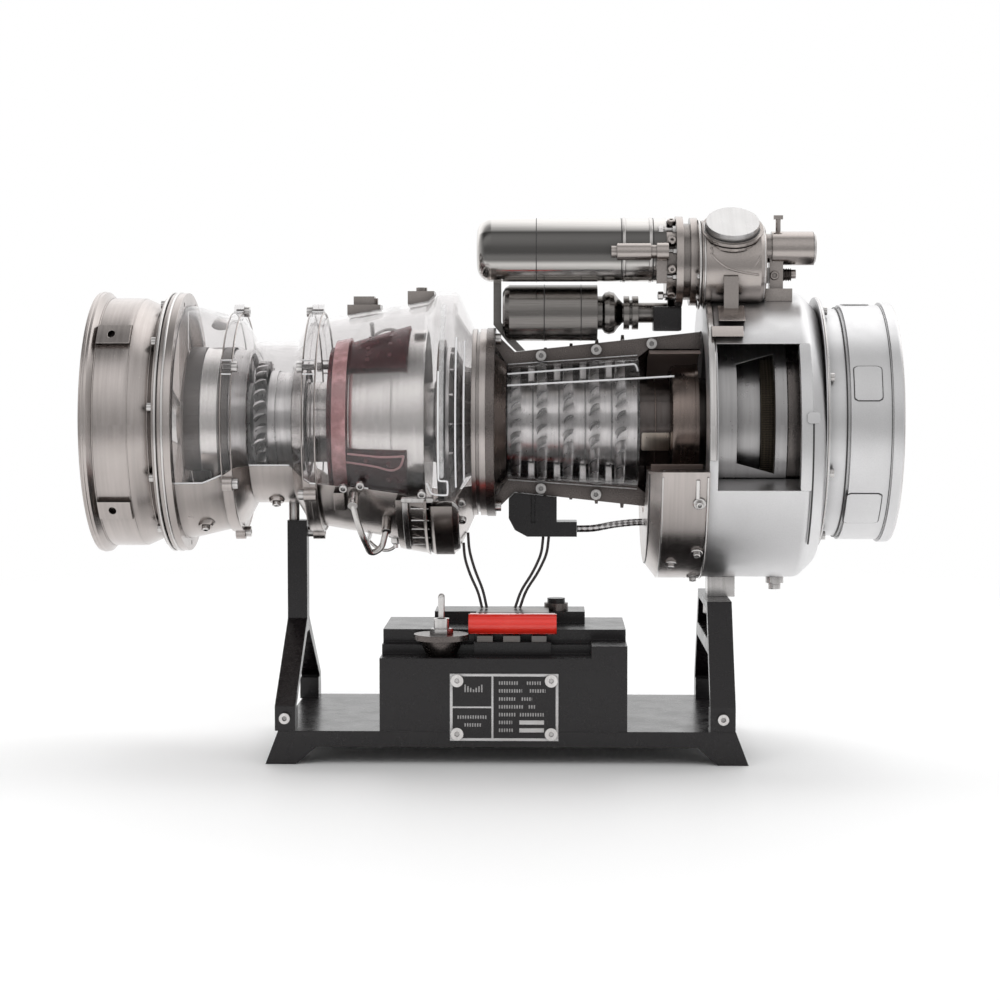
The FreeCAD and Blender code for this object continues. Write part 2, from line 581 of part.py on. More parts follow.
def split_edge(where):
    """Distance of the split flange's edge from the engine axis at a station, as an expression."""
    share = f"(({where}) - rotor_start - 2.5) / (frame_start - rotor_start - 2.5)"
    return f"(funnel_radius + (case_front_radius - funnel_radius) * {share})"


def compressor_case():
    """Far half of the compressor casing, with the split flanges that face the viewer."""
    body = new_body("compressor_case")
    rear_bore, front_bore = compressor_bore("rotor_start"), compressor_bore("rotor_end")
    wall = "case_wall"
    turn(body, [
        ("compressor_start", "funnel_bore_radius"), ("compressor_start", "compressor_flange_radius"),
        ("funnel_start", "compressor_flange_radius"), ("funnel_start", "funnel_bore_radius + case_wall"),
        ("rotor_start", f"{rear_bore} + {wall}"), ("rotor_end", f"{front_bore} + {wall}"),
        ("rotor_end + 4", f"case_front_radius - split_width + {wall}"),
        ("frame_start", f"case_front_radius - split_width + {wall}"),
        ("frame_start", "case_front_radius - split_width"),
        ("rotor_end + 4", "case_front_radius - split_width"), ("rotor_end", front_bore),
        ("rotor_start", rear_bore), ("funnel_start", "funnel_bore_radius"),
    ])
    pocket(body, "XZ_Plane", [box_loop("funnel_start", "frame_start + 1", "-side_reach", "side_reach")],
           "-side_reach", "0")
    for side in ("", "-"):
        slope = [
            ("funnel_start - 1", f"{side}(funnel_bore_radius + 0.1)"),
            ("funnel_start - 1", f"{side}(compressor_flange_radius - 2)"),
            ("funnel_start + 1", f"{side}(compressor_flange_radius - 3)"),
            ("rotor_start + 2.5", f"{side}funnel_radius"), ("frame_start", f"{side}case_front_radius"),
            ("frame_start", f"{side}(case_front_radius - split_width + 0.1)"),
            ("rotor_end + 4", f"{side}(case_front_radius - split_width + 0.1)"),
            ("rotor_end", f"{side}({front_bore} + 0.1)"), ("rotor_start", f"{side}({rear_bore} + 0.1)"),
            ("funnel_start", f"{side}(funnel_bore_radius + 0.1)"),
        ]
        pad(body, "XZ_Plane", [slope], "0", "split_thick")
    doc.recompute([body], True)
    holes = []
    for station in SPLIT_STATIONS:
        edge = f"({split_edge(station)} - split_screw_inset)"
        holes += [(station, across, "screw_radius + running_gap") for across in (edge, f"-{edge}")]
    pocket(body, "XZ_Plane", holes, "-0.5", "split_thick + 0.5")
    drill(body, "compressor_flange_radius - rear_screw_inset", REAR_SCREWS, "screw_radius + running_gap",
          "compressor_start + 0.2", "funnel_start + 0.5")
    return keep(on_engine(body), "compressor_case")


def compressor_window():
    """Thin clear cover over the near side of the compressor."""
    body = new_body("compressor_window")
    rear, front = compressor_bore("rotor_start"), compressor_bore("rotor_end")
    turn(body, [("rotor_start", rear), ("rotor_start", f"{rear} + window_wall"),
                ("rotor_end", f"{front} + window_wall"), ("rotor_end", front)], 180)
    return keep(on_engine(body), "compressor_window")


def separator_drum():
    """Lower half of the brushed steel drum that hangs behind the main frame."""
    body = new_body("separator_drum")
    turn(body, [
        ("drum_start", "case_front_radius + fit_gap"), ("drum_start", "drum_radius - drum_bevel_depth"),
        ("drum_start + drum_bevel_length", "drum_radius"), ("frame_start", "drum_radius"),
        ("frame_start", "drum_radius - case_wall"),
        ("drum_start + drum_bevel_length + case_wall / 2", "drum_radius - case_wall"),
        ("drum_start + case_wall", "drum_radius - drum_bevel_depth - case_wall / 2"),
        ("drum_start + case_wall", "case_front_radius + fit_gap"),
    ])
    pocket(body, "XZ_Plane", [box_loop("drum_start - 1", "frame_start + 1", "-drum_cut", "drum_radius + 1")],
           "-side_reach", "side_reach")
    half = "sqrt(drum_radius * drum_radius - drum_cut * drum_cut)"
    inner = "sqrt((case_front_radius + fit_gap) * (case_front_radius + fit_gap) - drum_cut * drum_cut)"
    for near_edge, far_edge in ((f"-{half} + 0.6", f"-{inner} - 0.6"), (f"{inner} + 0.6", f"{half} - 0.6")):
        ledge = box_loop("drum_start + drum_bevel_length", "frame_start", near_edge, far_edge)
        pad(body, "XY_Plane", [ledge], "-drum_cut - case_wall", "-drum_cut")
    doc.recompute([body], True)
    return keep(on_engine(body), "separator_drum")


def main_frame():
    """Silver scroll housing of the main frame, with its window on the near side."""
    body = new_body("main_frame")
    wall = "frame_wall"
    turn(body, [
        ("frame_start", "hidden_bore"), ("frame_start", "frame_radius"),
        ("frame_end - shoulder_round", "frame_radius"), ("frame_end", "frame_radius - shoulder_round"),
        ("frame_end", "hidden_bore"), (f"frame_end - {wall}", "hidden_bore"),
        (f"frame_end - {wall}", f"frame_radius - shoulder_round - {wall}"),
        (f"frame_end - shoulder_round - {wall}", f"frame_radius - {wall}"),
        (f"frame_start + {wall}", f"frame_radius - {wall}"), (f"frame_start + {wall}", "hidden_bore"),
    ])
    pocket(body, "YZ_Plane", [("0", "frame_drop", "case_front_radius + fit_gap")],
           "frame_start - 1", f"frame_start + {wall} + 1")
    pocket(body, "YZ_Plane", [("0", "frame_drop", "groove_bore_radius")],
           f"frame_end - {wall} - 1", "frame_end + 1")
    round_edges(body, "shoulder_round * 0.7", any_of(
        rim_at("frame_end - shoulder_round", "frame_radius"),
        rim_at("frame_end", "frame_radius - shoulder_round")))
    left, right = "(frame_start + window_inset)", "(frame_end - window_front_inset)"
    window = box_loop(left, right, "frame_drop - window_drop", "frame_drop + window_rise")
    pocket(body, "XZ_Plane", [window], "-side_reach", "-window_depth")
    sill, near = "(frame_drop - window_drop)", "(frame_wall * 2 - frame_radius)"
    pad(body, "YZ_Plane", [[
        (near, sill), (f"{near} + ledge_reach", f"{sill} + ledge_rise"),
        (f"{near} + ledge_reach", f"{sill} + ledge_rise - ledge_thick"), (near, f"{sill} - ledge_thick"),
    ]], left, right)
    doc.recompute([body], True)
    on_engine(body)
    body.setExpression("Placement.Base.z", bound("axis_height - frame_drop"))
    return keep(body, "main_frame")


def intake_case():
    """Ring casing of the intake, with its clamped groove and rounded lip."""
    body = new_body("intake_case")
    turn(body, [
        ("frame_end", "groove_bore_radius"), ("frame_end", "intake_flange_radius"),
        ("groove_start", "intake_flange_radius"), ("groove_start", "groove_radius"),
        ("intake_start", "groove_radius"), ("intake_start", "intake_radius"),
        ("lip_start", "intake_radius"), ("lip_start", "intake_lip_radius"),
        ("engine_length", "intake_lip_radius"), ("engine_length", "intake_lip_radius - 1.6"),
        ("lip_start", "groove_bore_radius"),
    ])
    round_edges(body, "1.2", rim_at("engine_length", "intake_lip_radius"))
    drill(body, "intake_flange_radius - flange_screw_inset", even_angles("flange_screw_count"),
          "small_screw + running_gap", "frame_end + 0.2", "groove_start + 0.5")
    return keep(on_engine(body), "intake_case")


def inlet_hub():
    """Hollow centre body that holds the motor."""
    start, end = value("rotor_end + flat_gap"), value("groove_start + inlet_hub_reach")
    outer, wall = value("inlet_hub_radius"), value("inlet_hub_wall")
    nose, bore = outer * 0.45, value("bearing_radius + running_gap")
    seat = start + value("bearing_width")
    shell = turned_shape([
        (start, bore), (start, outer), (end, outer), (end + nose * 0.7, outer * 0.72), (end + nose, 0.0),
        (end - 2, 0.0), (end - 2, outer - wall), (seat, outer - wall), (seat, bore),
    ])
    return keep(on_engine(shaped("inlet_hub", shell)), "inlet_hub")


def intake_vanes():
    """Flat vanes that carry the centre body in the intake."""
    start, chord, thick = value("groove_start + 1.5"), value("vane_chord"), value("vane_thick")
    foot, reach = value("inlet_hub_radius + running_gap"), value("groove_bore_radius - running_gap")
    vane = Part.makeBox(chord, thick, reach, Vector(start, -thick / 2, 0))
    vane = vane.common(tube(start, start + chord, reach, foot))
    vanes = Part.makeCompound(polar(vane, value("vane_count")))
    return keep(on_engine(shaped("intake_vanes", vanes)), "intake_vanes")


def liners():
    """Air passage behind the window of the main frame: a ported drum, its inner ring and a short tube."""
    first = new_body("frame_liner")
    seat, skin = "(frame_start + frame_wall)", "(liner_tube_radius - liner_tube_wall)"
    far_end = "(frame_end - second_tube_length)"
    turn(first, [(seat, skin), (seat, "liner_tube_radius"), (f"{far_end} - fit_gap", "liner_tube_radius"),
                 (f"{far_end} - fit_gap", skin)])
    port, port_end = f"({seat} + port_start)", f"({seat} + port_start + port_length)"
    pocket(first, "XZ_Plane", [[
        (port, "port_taper - port_low"), (port_end, "-port_low"), (port_end, "port_high"),
        (port, "port_high - port_taper"),
    ]], "-side_reach", "-port_depth")
    bore = "(inner_tube_radius - liner_tube_wall)"
    turn(first, [
        (f"{port} - liner_tube_wall", bore), (f"{port} - liner_tube_wall", f"{skin} + 0.2"),
        (port, f"{skin} + 0.2"), (port, "inner_tube_radius"),
        (f"{port} + inner_tube_length", "inner_tube_radius"), (f"{port} + inner_tube_length", bore),
    ])
    keep(on_engine(first), "frame_liner")
    second = new_body("intake_liner")
    turn(second, [(far_end, f"{skin} - 1"), (far_end, "liner_tube_radius - 0.6"),
                  ("frame_end", "liner_tube_radius - 0.6"), ("frame_end", f"{skin} - 1")])
    keep(on_engine(second), "intake_liner")


def lower_web(start, end, inner, outer, depth):
    """Plate that carries a ring from the lower casing, below the cut line."""
    plate = tube(start, end, outer, inner)
    keep_low = Part.makeBox(end - start, 4 * outer, outer, Vector(start, -2 * outer, -outer - depth))
    return plate.common(keep_low)


def nozzle_ring():
    """Fixed ring of guide vanes that also seats the rear bearing, as a plain shape."""
    start, end = value("waist_end - 0.7"), value("waist_end + 3.5")
    ring, hub = value("nozzle_radius"), value("turbine_hub_radius - 2.5")
    core = tube(start, end, hub, value("bearing_radius + running_gap"))
    pieces = [tube(start, end, ring, ring - 1.0)]
    pieces += bladed(start + 0.3, hub, ring - 0.6, end - start - 0.6, 0.8, value("nozzle_vanes"), -35, -10)
    pieces.append(lower_web(end - 1.2, end, ring - 0.5, value("waist_radius + 2.0"),
                            value("cut_depth - cut_rise + 2")))
    return core.multiFuse(pieces)


def turbine_stators():
    """Fixed rings ahead of and between the power turbine's discs, and the ring of guide vanes."""
    band, wall = value("band_radius"), value("band_wall")
    rings = [nozzle_ring()]
    for start, end, web_end, reach in (
        (value("power_case_start + flat_gap"), value("power_case_start + 3.2"),
         value("power_case_start + 1.8"), value("power_case_radius - case_wall - 0.9")),
        (value("waist_flange_start - 6.0"), value("waist_flange_start - 1.0"),
         value("waist_flange_start - 4.4"), value("power_case_end_radius - case_wall + 0.6")),
    ):
        ring = tube(start, end, band, band - wall)
        web = lower_web(start, web_end, band - wall, reach, value("cut_depth + 3"))
        rings.append(ring.fuse(web).removeSplitter())
    return keep(on_engine(shaped("turbine_stators", Part.makeCompound(rings))), "turbine_stators")


def exhaust_frame():
    """Spider and tail cone that carry the power turbine's bearing."""
    start, end = value("ring_start + flat_gap"), value("power_case_start - 0.6")
    hub = value("bearing_radius + 2.0")
    cone = turned_shape([(start - 9, 0.0), (start - 7, hub * 0.5), (start, hub), (end, hub),
                         (end, value("bearing_radius + running_gap")),
                         (end - value("bearing_width"), value("bearing_radius + running_gap")),
                         (end - value("bearing_width"), 0.0)])
    reach = value("power_case_radius - case_wall - fit_gap")
    strut = Part.makeBox(end - start, 1.6, reach - hub + 1, Vector(start, -0.8, hub - 1.0))
    strut = strut.common(tube(start, end, reach))
    return keep(on_engine(shaped("exhaust_frame", cone.multiFuse(polar(strut, value("strut_count"))))),
                "exhaust_frame")


def bladed(start, root, tip, chord, thick, count, stagger, twist, offset=0.0):
    """Ring of blades ready to be joined to a hub."""
    middle = start + chord / 2
    one = blade(middle, root - 0.6, tip, chord, thick, stagger, twist)
    return polar(one, count, offset)


def power_turbine():
    """Two shrouded discs on one hub, turning as the output side."""
    bore = value("power_shaft_radius + running_gap")
    hub, band, wall = value("power_hub_radius"), value("band_radius"), value("band_wall")
    first, second = value("power_case_start + 3.6"), value("waist_flange_start - 0.6")
    first_long, second_long = value("band_length"), value("second_band_length")
    spool = turned_shape([
        (first, bore), (first, hub), (first + first_long, hub), (first + first_long, hub * 0.6),
        (second, hub * 0.6), (second, hub), (second + second_long, hub), (second + second_long, bore),
    ])
    pieces = []
    for start, long, shroud in ((first, first_long, band), (second, second_long, band - 0.5)):
        pieces.append(tube(start, start + long, shroud, shroud - wall))
        pieces += bladed(start + 0.4, hub, shroud - wall + 0.4, long - 0.8, 0.9,
                         value("power_blades"), 35, 10)
    return keep(on_engine(shaped("power_turbine", spool.multiFuse(pieces))), "power_turbine")


def power_turbine_shaft():
    """Short shaft that carries the power turbine in the exhaust frame."""
    start, end = value("power_case_start - 0.6 - bearing_width + flat_gap"), value("waist_start - 1.5")
    radius = value("power_shaft_radius")
    return keep(on_engine(shaped("power_turbine_shaft", tube(start, end, radius))), "power_turbine_shaft")


def gas_generator_turbine():
    """Bladed turbine disc that drives the compressor."""
    start = value("waist_start + 0.4")
    hub, tip = value("turbine_hub_radius"), value("turbine_tip_radius")
    bore = value("shaft_radius + running_gap")
    row = value("turbine_row_length")
    end = value("waist_end - 1.1")
    core = turned_shape([
        (start, bore), (start, hub - 2.2), (start + row, hub - 2.2), (start + row, hub + 0.5),
        (start + row + 2.6, hub + 0.5), (start + row + 2.6, hub), (end, hub), (end, bore),
    ])
    blades = bladed(start + 0.3, hub - 2.2, tip, row - 0.6, 0.8, value("turbine_blades"), 40, -12)
    return keep(on_engine(shaped("gas_generator_turbine", core.multiFuse(blades))), "gas_generator_turbine")


def gas_generator_shaft():
    """Main shaft of the gas generator, with the spigot that the motor turns."""
    start, end = value("waist_start + 1.4"), value("rotor_end + bearing_width + 1.5")
    shaft = tube(start, end, value("shaft_radius"))
    spigot = tube(end, value("motor_start + spigot_length"), value("spigot_radius"))
    return keep(on_engine(shaped("gas_generator_shaft", shaft.fuse(spigot))), "gas_generator_shaft")


def impeller():
    """Centrifugal wheel behind the axial stages."""
    start = value("bulge_end - impeller_back")
    end = start + value("impeller_length")
    outer, bore = value("impeller_radius"), value("shaft_radius + running_gap")
    span = end - start
    core = turned_shape([
        (start, bore), (start, outer), (start + 1.2, outer), (start + 0.35 * span, outer * 0.55),
        (start + 0.7 * span, outer * 0.36), (end, outer * 0.31), (end, bore),
    ])
    vane_face = Part.Face(Part.makePolygon([Vector(along, -0.35, radius) for along, radius in (
        (start + 0.6, outer * 0.45), (start + 0.6, outer - 0.2), (start + 2.6, outer - 0.2),
        (start + 0.45 * span, outer * 0.74), (end - 0.4, outer * 0.66), (end - 0.4, outer * 0.28),
        (start + 0.6, outer * 0.45))]))
    vane = vane_face.extrude(Vector(0, 0.7, 0))
    wheel = core.multiFuse(polar(vane, value("impeller_vanes")))
    return keep(on_engine(shaped("impeller", wheel)), "impeller")


def compressor_rotor():
    """Five-stage drum with its blades."""
    start, pitch, count = value("rotor_start"), value("stage_pitch"), int(value("stage_count"))
    rear, front = value("hub_rear_radius"), value("hub_front_radius")
    tip_rear, tip_front = value("tip_rear_radius"), value("tip_front_radius")
    chord, bore = value("blade_chord"), value("shaft_radius + running_gap")
    step = (front - rear) / count
    corners = [(start, bore)]
    for stage in range(count):
        left = start + stage * pitch
        radius = rear + step * stage
        corners += [(left + 0.01, radius), (left + pitch - 0.5, radius + step), (left + pitch - 0.5, radius)]
        corners.append((left + pitch, radius))
    corners[-2:] = [(start + count * pitch - 0.5, bore)]
    drum = turned_shape(corners)
    blades = []
    for stage in range(count):
        left = start + stage * pitch + value("blade_lead")
        root = rear + step * stage
        tip = tip_rear + (tip_front - tip_rear) * (stage + 0.25) / count
        blades += bladed(left, root, tip, chord, value("blade_thick"), value("blade_count"),
                         value("blade_twist"), 14, offset=stage * 7.0)
    return keep(on_engine(shaped("compressor_rotor", drum.multiFuse(blades))), "compressor_rotor")


def compressor_stators():
    """Rows of fixed vanes between the stages, in the far half of the casing."""
    rows = []
    pitch = value("stage_pitch")
    for stage in range(int(value("stage_count")) - 1):
        middle = value("rotor_start") + (stage + 1) * pitch - 0.9
        share = (middle - value("rotor_start")) / (pitch * value("stage_count"))
        bore = value("tip_rear_radius + case_clear") + value("tip_front_radius - tip_rear_radius") * share
        inner = value("hub_rear_radius + rotor_gap") + value("hub_front_radius - hub_rear_radius") * share
        ring = tube(middle - 1.3, middle + 1.3, bore - 0.25, bore - 0.85)
        far_half = Part.makeBox(2.6, bore, 2 * bore, Vector(middle - 1.3, 0, -bore))
        vane = Part.makeBox(2.2, 0.5, bore - 0.5 - inner, Vector(middle - 1.1, -0.25, inner))
        vanes = [item for item in polar(vane, value("stator_count"), 5.0) if item.BoundBox.YMin > 0.0]
        rows.append(ring.common(far_half).multiFuse(vanes))
    return keep(on_engine(shaped("compressor_stators", Part.makeCompound(rows))), "compressor_stators")


def diffuser():
    """Dark diffuser disc behind the impeller, carried by the lower casing."""
    start = value("bulge_start + bulge_rise + flat_gap")
    end = start + value("diffuser_thick")
    disc = tube(start, end, value("diffuser_radius"), value("shaft_radius + 1.0"))
    web = lower_web(start, end, value("diffuser_radius - 1"), value("bulge_radius - case_wall - fit_gap"),
                    value("cut_depth + cut_fall + 1"))
    return keep(on_engine(shaped("diffuser", disc.fuse(web).removeSplitter())), "diffuser")


def combustor_barrel():
    """Bright inner casing of the combustor, round the shaft."""
    body = new_body("combustor_barrel")
    front = "bulge_start + bulge_rise + flat_gap"
    turn(body, [("waist_end + 3.7", "barrel_radius - barrel_wall"), ("waist_end + 3.7", "barrel_radius"),
                (front, "barrel_radius"), (front, "barrel_radius - barrel_wall")])
    return keep(on_engine(body), "combustor_barrel")


def combustor_liner():
    """Red flame tube, widening forwards, with its near side cut open."""
    body = new_body("combustor_liner")
    start, end = "burner_start + liner_set_back", "burner_start + liner_set_back + liner_length"
    turn(body, [
        (start, "barrel_radius + fit_gap"), (start, "liner_rear_radius"), (end, "liner_front_radius"),
        (end, "liner_front_radius - liner_wall"), (f"{start} + 1.2", "liner_rear_radius - liner_wall"),
        (f"{start} + 1.2", "barrel_radius + fit_gap"),
    ])
    opening = box_loop(f"{start} + 4.4", f"{end} + 1", "-liner_cut_low", "liner_cut_high")
    pocket(body, "XZ_Plane", [opening], "-side_reach", "0")
    return keep(on_engine(body), "combustor_liner")


def shaft_bearings():
    """Three plain bearing rings: rear and front of the gas generator, and the power turbine's."""
    gap, width = value("running_gap"), value("bearing_width")
    outer = value("bearing_radius")
    rings = []
    for start, bore in (
        (value("waist_end - 0.6"), value("shaft_radius")),
        (value("rotor_end + flat_gap"), value("shaft_radius")),
        (value("power_case_start - 0.6") - width, value("power_shaft_radius")),
    ):
        rings.append(tube(start, start + width, outer, bore + gap))
    return keep(on_engine(shaped("shaft_bearings", Part.makeCompound(rings))), "shaft_bearings")


def drive_motor():
    """Motor can inside the inlet hub; it takes the spigot of the main shaft."""
    back = value("motor_start")
    front, deep = back + value("motor_length"), back + value("spigot_length") + 0.5
    bore = value("spigot_radius + running_gap")
    can = turned_shape([(back, bore), (back, value("motor_radius")), (front, value("motor_radius")),
                        (front, 0.0), (deep, 0.0), (deep, bore)])
    plate_radius = value("inlet_hub_radius - inlet_hub_wall - running_gap * 2")
    plate = tube(back, back + value("motor_plate"), plate_radius, value("motor_radius - 0.5"))
    return keep(on_engine(shaped("drive_motor", can.fuse(plate).removeSplitter())), "drive_motor")


def burner_envelope(gap):
    """Solid that follows the outside of the combustor casing, larger by a gap."""
    front = value("bulge_start + bulge_rise")
    return turned_shape([
        (value("burner_start"), 0.0), (value("burner_start"), value("burner_flange_radius") + gap),
        (value("burner_start + burner_flange"), value("burner_flange_radius") + gap),
        (value("burner_start + burner_flange"), value("burner_radius") + gap),
        (value("bulge_start"), value("burner_end_radius") + gap), (front, value("bulge_radius") + gap),
        (value("bulge_end - bulge_fall"), value("bulge_radius") + gap),
        (value("bulge_end"), value("bulge_end_radius") + gap), (value("bulge_end"), 0.0),
    ])


def starter():
    """Long polished cylinder with a domed rear end, on top of the engine."""
    body = new_body("starter")
    end = "starter_start + starter_length"
    turn(body, [("starter_start", "0"), ("starter_start", "starter_radius"), (end, "starter_radius"),
                (end, "0")])
    round_edges(body, "starter_round", rim_at("starter_start", "starter_radius"))
    on_engine(body)
    body.setExpression("Placement.Base.y", bound("-starter_near"))
    body.setExpression("Placement.Base.z", bound("axis_height + starter_height"))
    return keep(body, "starter")


def oil_tank():
    """Second cylinder under the starter, with its ball joint, ribbed outlet and bent strut."""
    start, radius, neck = value("tank_start"), value("tank_radius"), value("neck_of_tank")
    end, front = start + value("tank_length"), value("disc_start")
    tank = turned_shape([
        (start, 0.0), (start, radius - 2.6), (start + 0.8, radius - 1.0), (start + 2.4, radius),
        (end, radius),
        (end, radius - 4.0), (end + 1.8, radius - 4.0), (end + 2.6, radius - 2.8), (end + 4.2, radius - 2.3),
        (end + 6.0, radius - 2.8), (end + 7.6, radius - 4.8), (end + 9.0, neck), (end + 9.4, neck),
        (end + 9.4, neck + 2.4), (end + 11.4, neck + 2.4), (end + 11.4, neck + 1.0), (end + 12.4, neck + 1.0),
        (end + 12.4, neck + 2.4), (end + 14.6, neck + 2.4), (end + 14.6, neck), (front - 2.2, neck),
        (front - 2.2, neck + 1.6), (front, neck + 1.6), (front, 0.0),
    ])
    tank.translate(Vector(0, 0, value("tank_height")))
    left, foot = value("starter_start + 5.6"), value(split_edge("starter_start + 17"))
    top = value("starter_height - starter_radius") + 3.6
    toe = value(split_edge("starter_start + 13.9"))
    corners = [
        (left, top), (left + 2.8, top), (left + 2.8, foot + 10.2), (left + 7.4, foot + 4.3),
        (left + 11.4, foot + 0.1), (left + 8.3, toe + 0.1), (left + 4.8, foot + 3.3),
        (left, foot + 9.3),
    ]
    points = [Vector(along, 0.3, up) for along, up in corners]
    strut = Part.Face(Part.makePolygon(points + points[:1])).extrude(Vector(0, value("strut_thick"), 0))
    return keep(on_engine(shaped("oil_tank", tank.fuse(strut))), "oil_tank")


def starter_flange():
    """Clamp plate and stacked discs behind the starter, with the slim servo beside it."""
    clamp, discs, front = value("clamp_start"), value("disc_start"), value("control_start")
    step, radius = value("disc_thick"), value("disc_radius")
    stack = turned_shape([
        (clamp, 0.0), (clamp, value("clamp_radius")), (discs, value("clamp_radius")), (discs, radius),
        (discs + step, radius), (discs + step, radius - 2.5), (discs + 2 * step, radius - 2.5),
        (discs + 2 * step, radius - 0.5), (front, radius - 0.5), (front, 0.0),
    ])
    stack.translate(Vector(0, -value("starter_near"), value("clamp_height")))
    start, slim = clamp - value("servo_length"), value("servo_radius")
    servo = turned_shape([
        (start, 0.0), (start, slim * 0.7), (start + 2.0, slim * 0.7), (start + 2.0, slim),
        (clamp - 5.6, slim), (clamp - 5.6, slim * 0.8), (clamp - 3.6, slim * 0.8), (clamp - 3.6, slim * 1.05),
        (clamp + 0.5, slim * 1.05), (clamp + 0.5, 0.0),
    ])
    servo.translate(Vector(0, -value("servo_near"), value("servo_height")))
    ear_long, ear_thick, ear_high, ear_drop = 3.6, 3.0, 11.5, 11.0
    ear_seat = Vector(clamp - ear_long, -value("servo_near"), value("servo_height") - ear_drop)
    ear = Part.makeBox(ear_long, ear_thick, ear_high, ear_seat)
    case = tube(clamp - value("servo_length"), clamp, value("starter_radius + running_gap"))
    case.translate(Vector(0, -value("starter_near"), value("starter_height")))
    flange = stack.multiFuse([servo, ear.cut(case)])
    return keep(on_engine(shaped("starter_flange", flange)), "starter_flange")


def frame_saddle(gap):
    """Cylinder of the main frame, larger by a gap, that the parts on top are cut to sit on."""
    saddle = tube(value("frame_start - 20"), value("frame_end + 1"), value("frame_radius") + gap)
    saddle.translate(Vector(0, 0, -value("frame_drop")))
    return saddle


def cap_axis():
    """Middle of the fuel control's barrel and the direction that its neck leans in."""
    lean = math.radians(value("cap_tilt"))
    half_way = value("control_start + control_length / 2")
    middle = Vector(half_way, -value("control_near"), value("control_height"))
    return middle, Vector(0, -math.sin(lean), math.cos(lean))


def fuel_control():
    """Fuel control: a barrel along the engine with a neck that leans towards the viewer."""
    start, end = value("control_start"), value("control_end")
    radius, neck_radius, neck_length = value("control_radius"), value("neck_radius"), value("neck_length")
    barrel = turned_shape([(start, 0.0), (start, radius - 1.2), (start + 1.2, radius),
                           (end - 2, radius), (end, radius - 2), (end, 0.0)])
    barrel.translate(Vector(0, -value("control_near"), value("control_height")))
    middle, away = cap_axis()
    pieces = [Part.makeCylinder(neck_radius, neck_length, middle, away)]
    collar_thick = 1.1
    for rise, extra in ((0.80, 0.7), (0.92, 0.9)):
        seat = middle + away * (neck_length * rise)
        pieces.append(Part.makeCylinder(neck_radius + extra, collar_thick, seat, away))
    frame, start = value("frame_radius"), value("frame_start")
    lug_share, arm_share, block_share = 0.788, 0.815, 0.682
    lug_low, arm_low, block_low = (
        share * frame - value("frame_drop") for share in (lug_share, arm_share, block_share)
    )
    pad_thick, reach = 2.6, 20
    lug_long, lug_high, lug_set, lug_near = 9.0, 5.4, 4.0, 4.9
    lug = Part.makeBox(lug_long, reach, lug_high, Vector(start + lug_set, lug_near - frame, lug_low))
    pieces.append(lug.common(frame_saddle(pad_thick)))
    arm_near = -value("control_near + control_radius + fit_gap")
    arm_long, arm_thick, arm_set, arm_drop = 5.0, 3.6, 6.0, 4.8
    arm_rise = value("control_height") - arm_drop - arm_low
    arm_seat = Vector(start + arm_set, arm_near, arm_low)
    pieces.append(Part.makeBox(arm_long, arm_thick, arm_rise, arm_seat))
    body = barrel.multiFuse(pieces).cut(frame_saddle(value("running_gap")))
    block_long, block_high, block_set, block_near = 10.8, 3.6, 1.2, 0.9
    block_seat = Vector(start + block_set, block_near - frame, block_low)
    block = Part.makeBox(block_long, reach, block_high, block_seat)
    block = block.common(frame_saddle(pad_thick)).cut(frame_saddle(value("running_gap")))
    return keep(on_engine(shaped("fuel_control", Part.makeCompound([body, block]))), "fuel_control")


def fuel_control_cap():
    """Pale disc on the neck of the fuel control."""
    middle, away = cap_axis()
    seat = middle + away * value("neck_length + 0.1")
    lid = Part.makeCylinder(value("cap_radius"), value("cap_thick"), seat, away)
    return keep(on_engine(shaped("fuel_control_cap", lid)), "fuel_control_cap")


def fuel_actuator():
    """Stepped cylinder at the front of the fuel control, on its bracket."""
    start, radius = value("control_end"), value("actuator_radius")
    end = start + value("actuator_length")
    near, up = -value("control_near"), value("control_height + actuator_rise")
    step, collar, bevel = 0.8, 2.6, 1.0
    rod = turned_shape([
        (start, 0.0), (start, radius - step), (start + collar, radius - step), (start + collar, radius),
        (end - bevel, radius), (end, radius - bevel), (end, 0.0),
    ])
    rod.translate(Vector(0, near, up))
    pin = Part.makeCylinder(0.9, radius + 5.6, Vector(start + 5, near, up), Vector(0, 0, 1))
    lever = Part.makeBox(3.2, 2.0, 1.4, Vector(start + 3.4, near - 1.0, up + radius + 4.2))
    upright = Part.makeBox(4.7, 7.0, 18.0, Vector(start + 1.8, near - 3.5, up - 20))
    foot = Part.makeBox(9.4, 10.0, 7.4, Vector(start + 0.2, near - 5.0, up - 21.6))
    screw = Part.makeCylinder(1.6, 4.8, Vector(start + 6.4, near, up - 9.0), Vector(1, 0, 0))
    body = rod.multiFuse([pin, lever, upright, foot, screw]).cut(frame_saddle(value("running_gap")))
    return keep(on_engine(shaped("fuel_actuator", body)), "fuel_actuator")


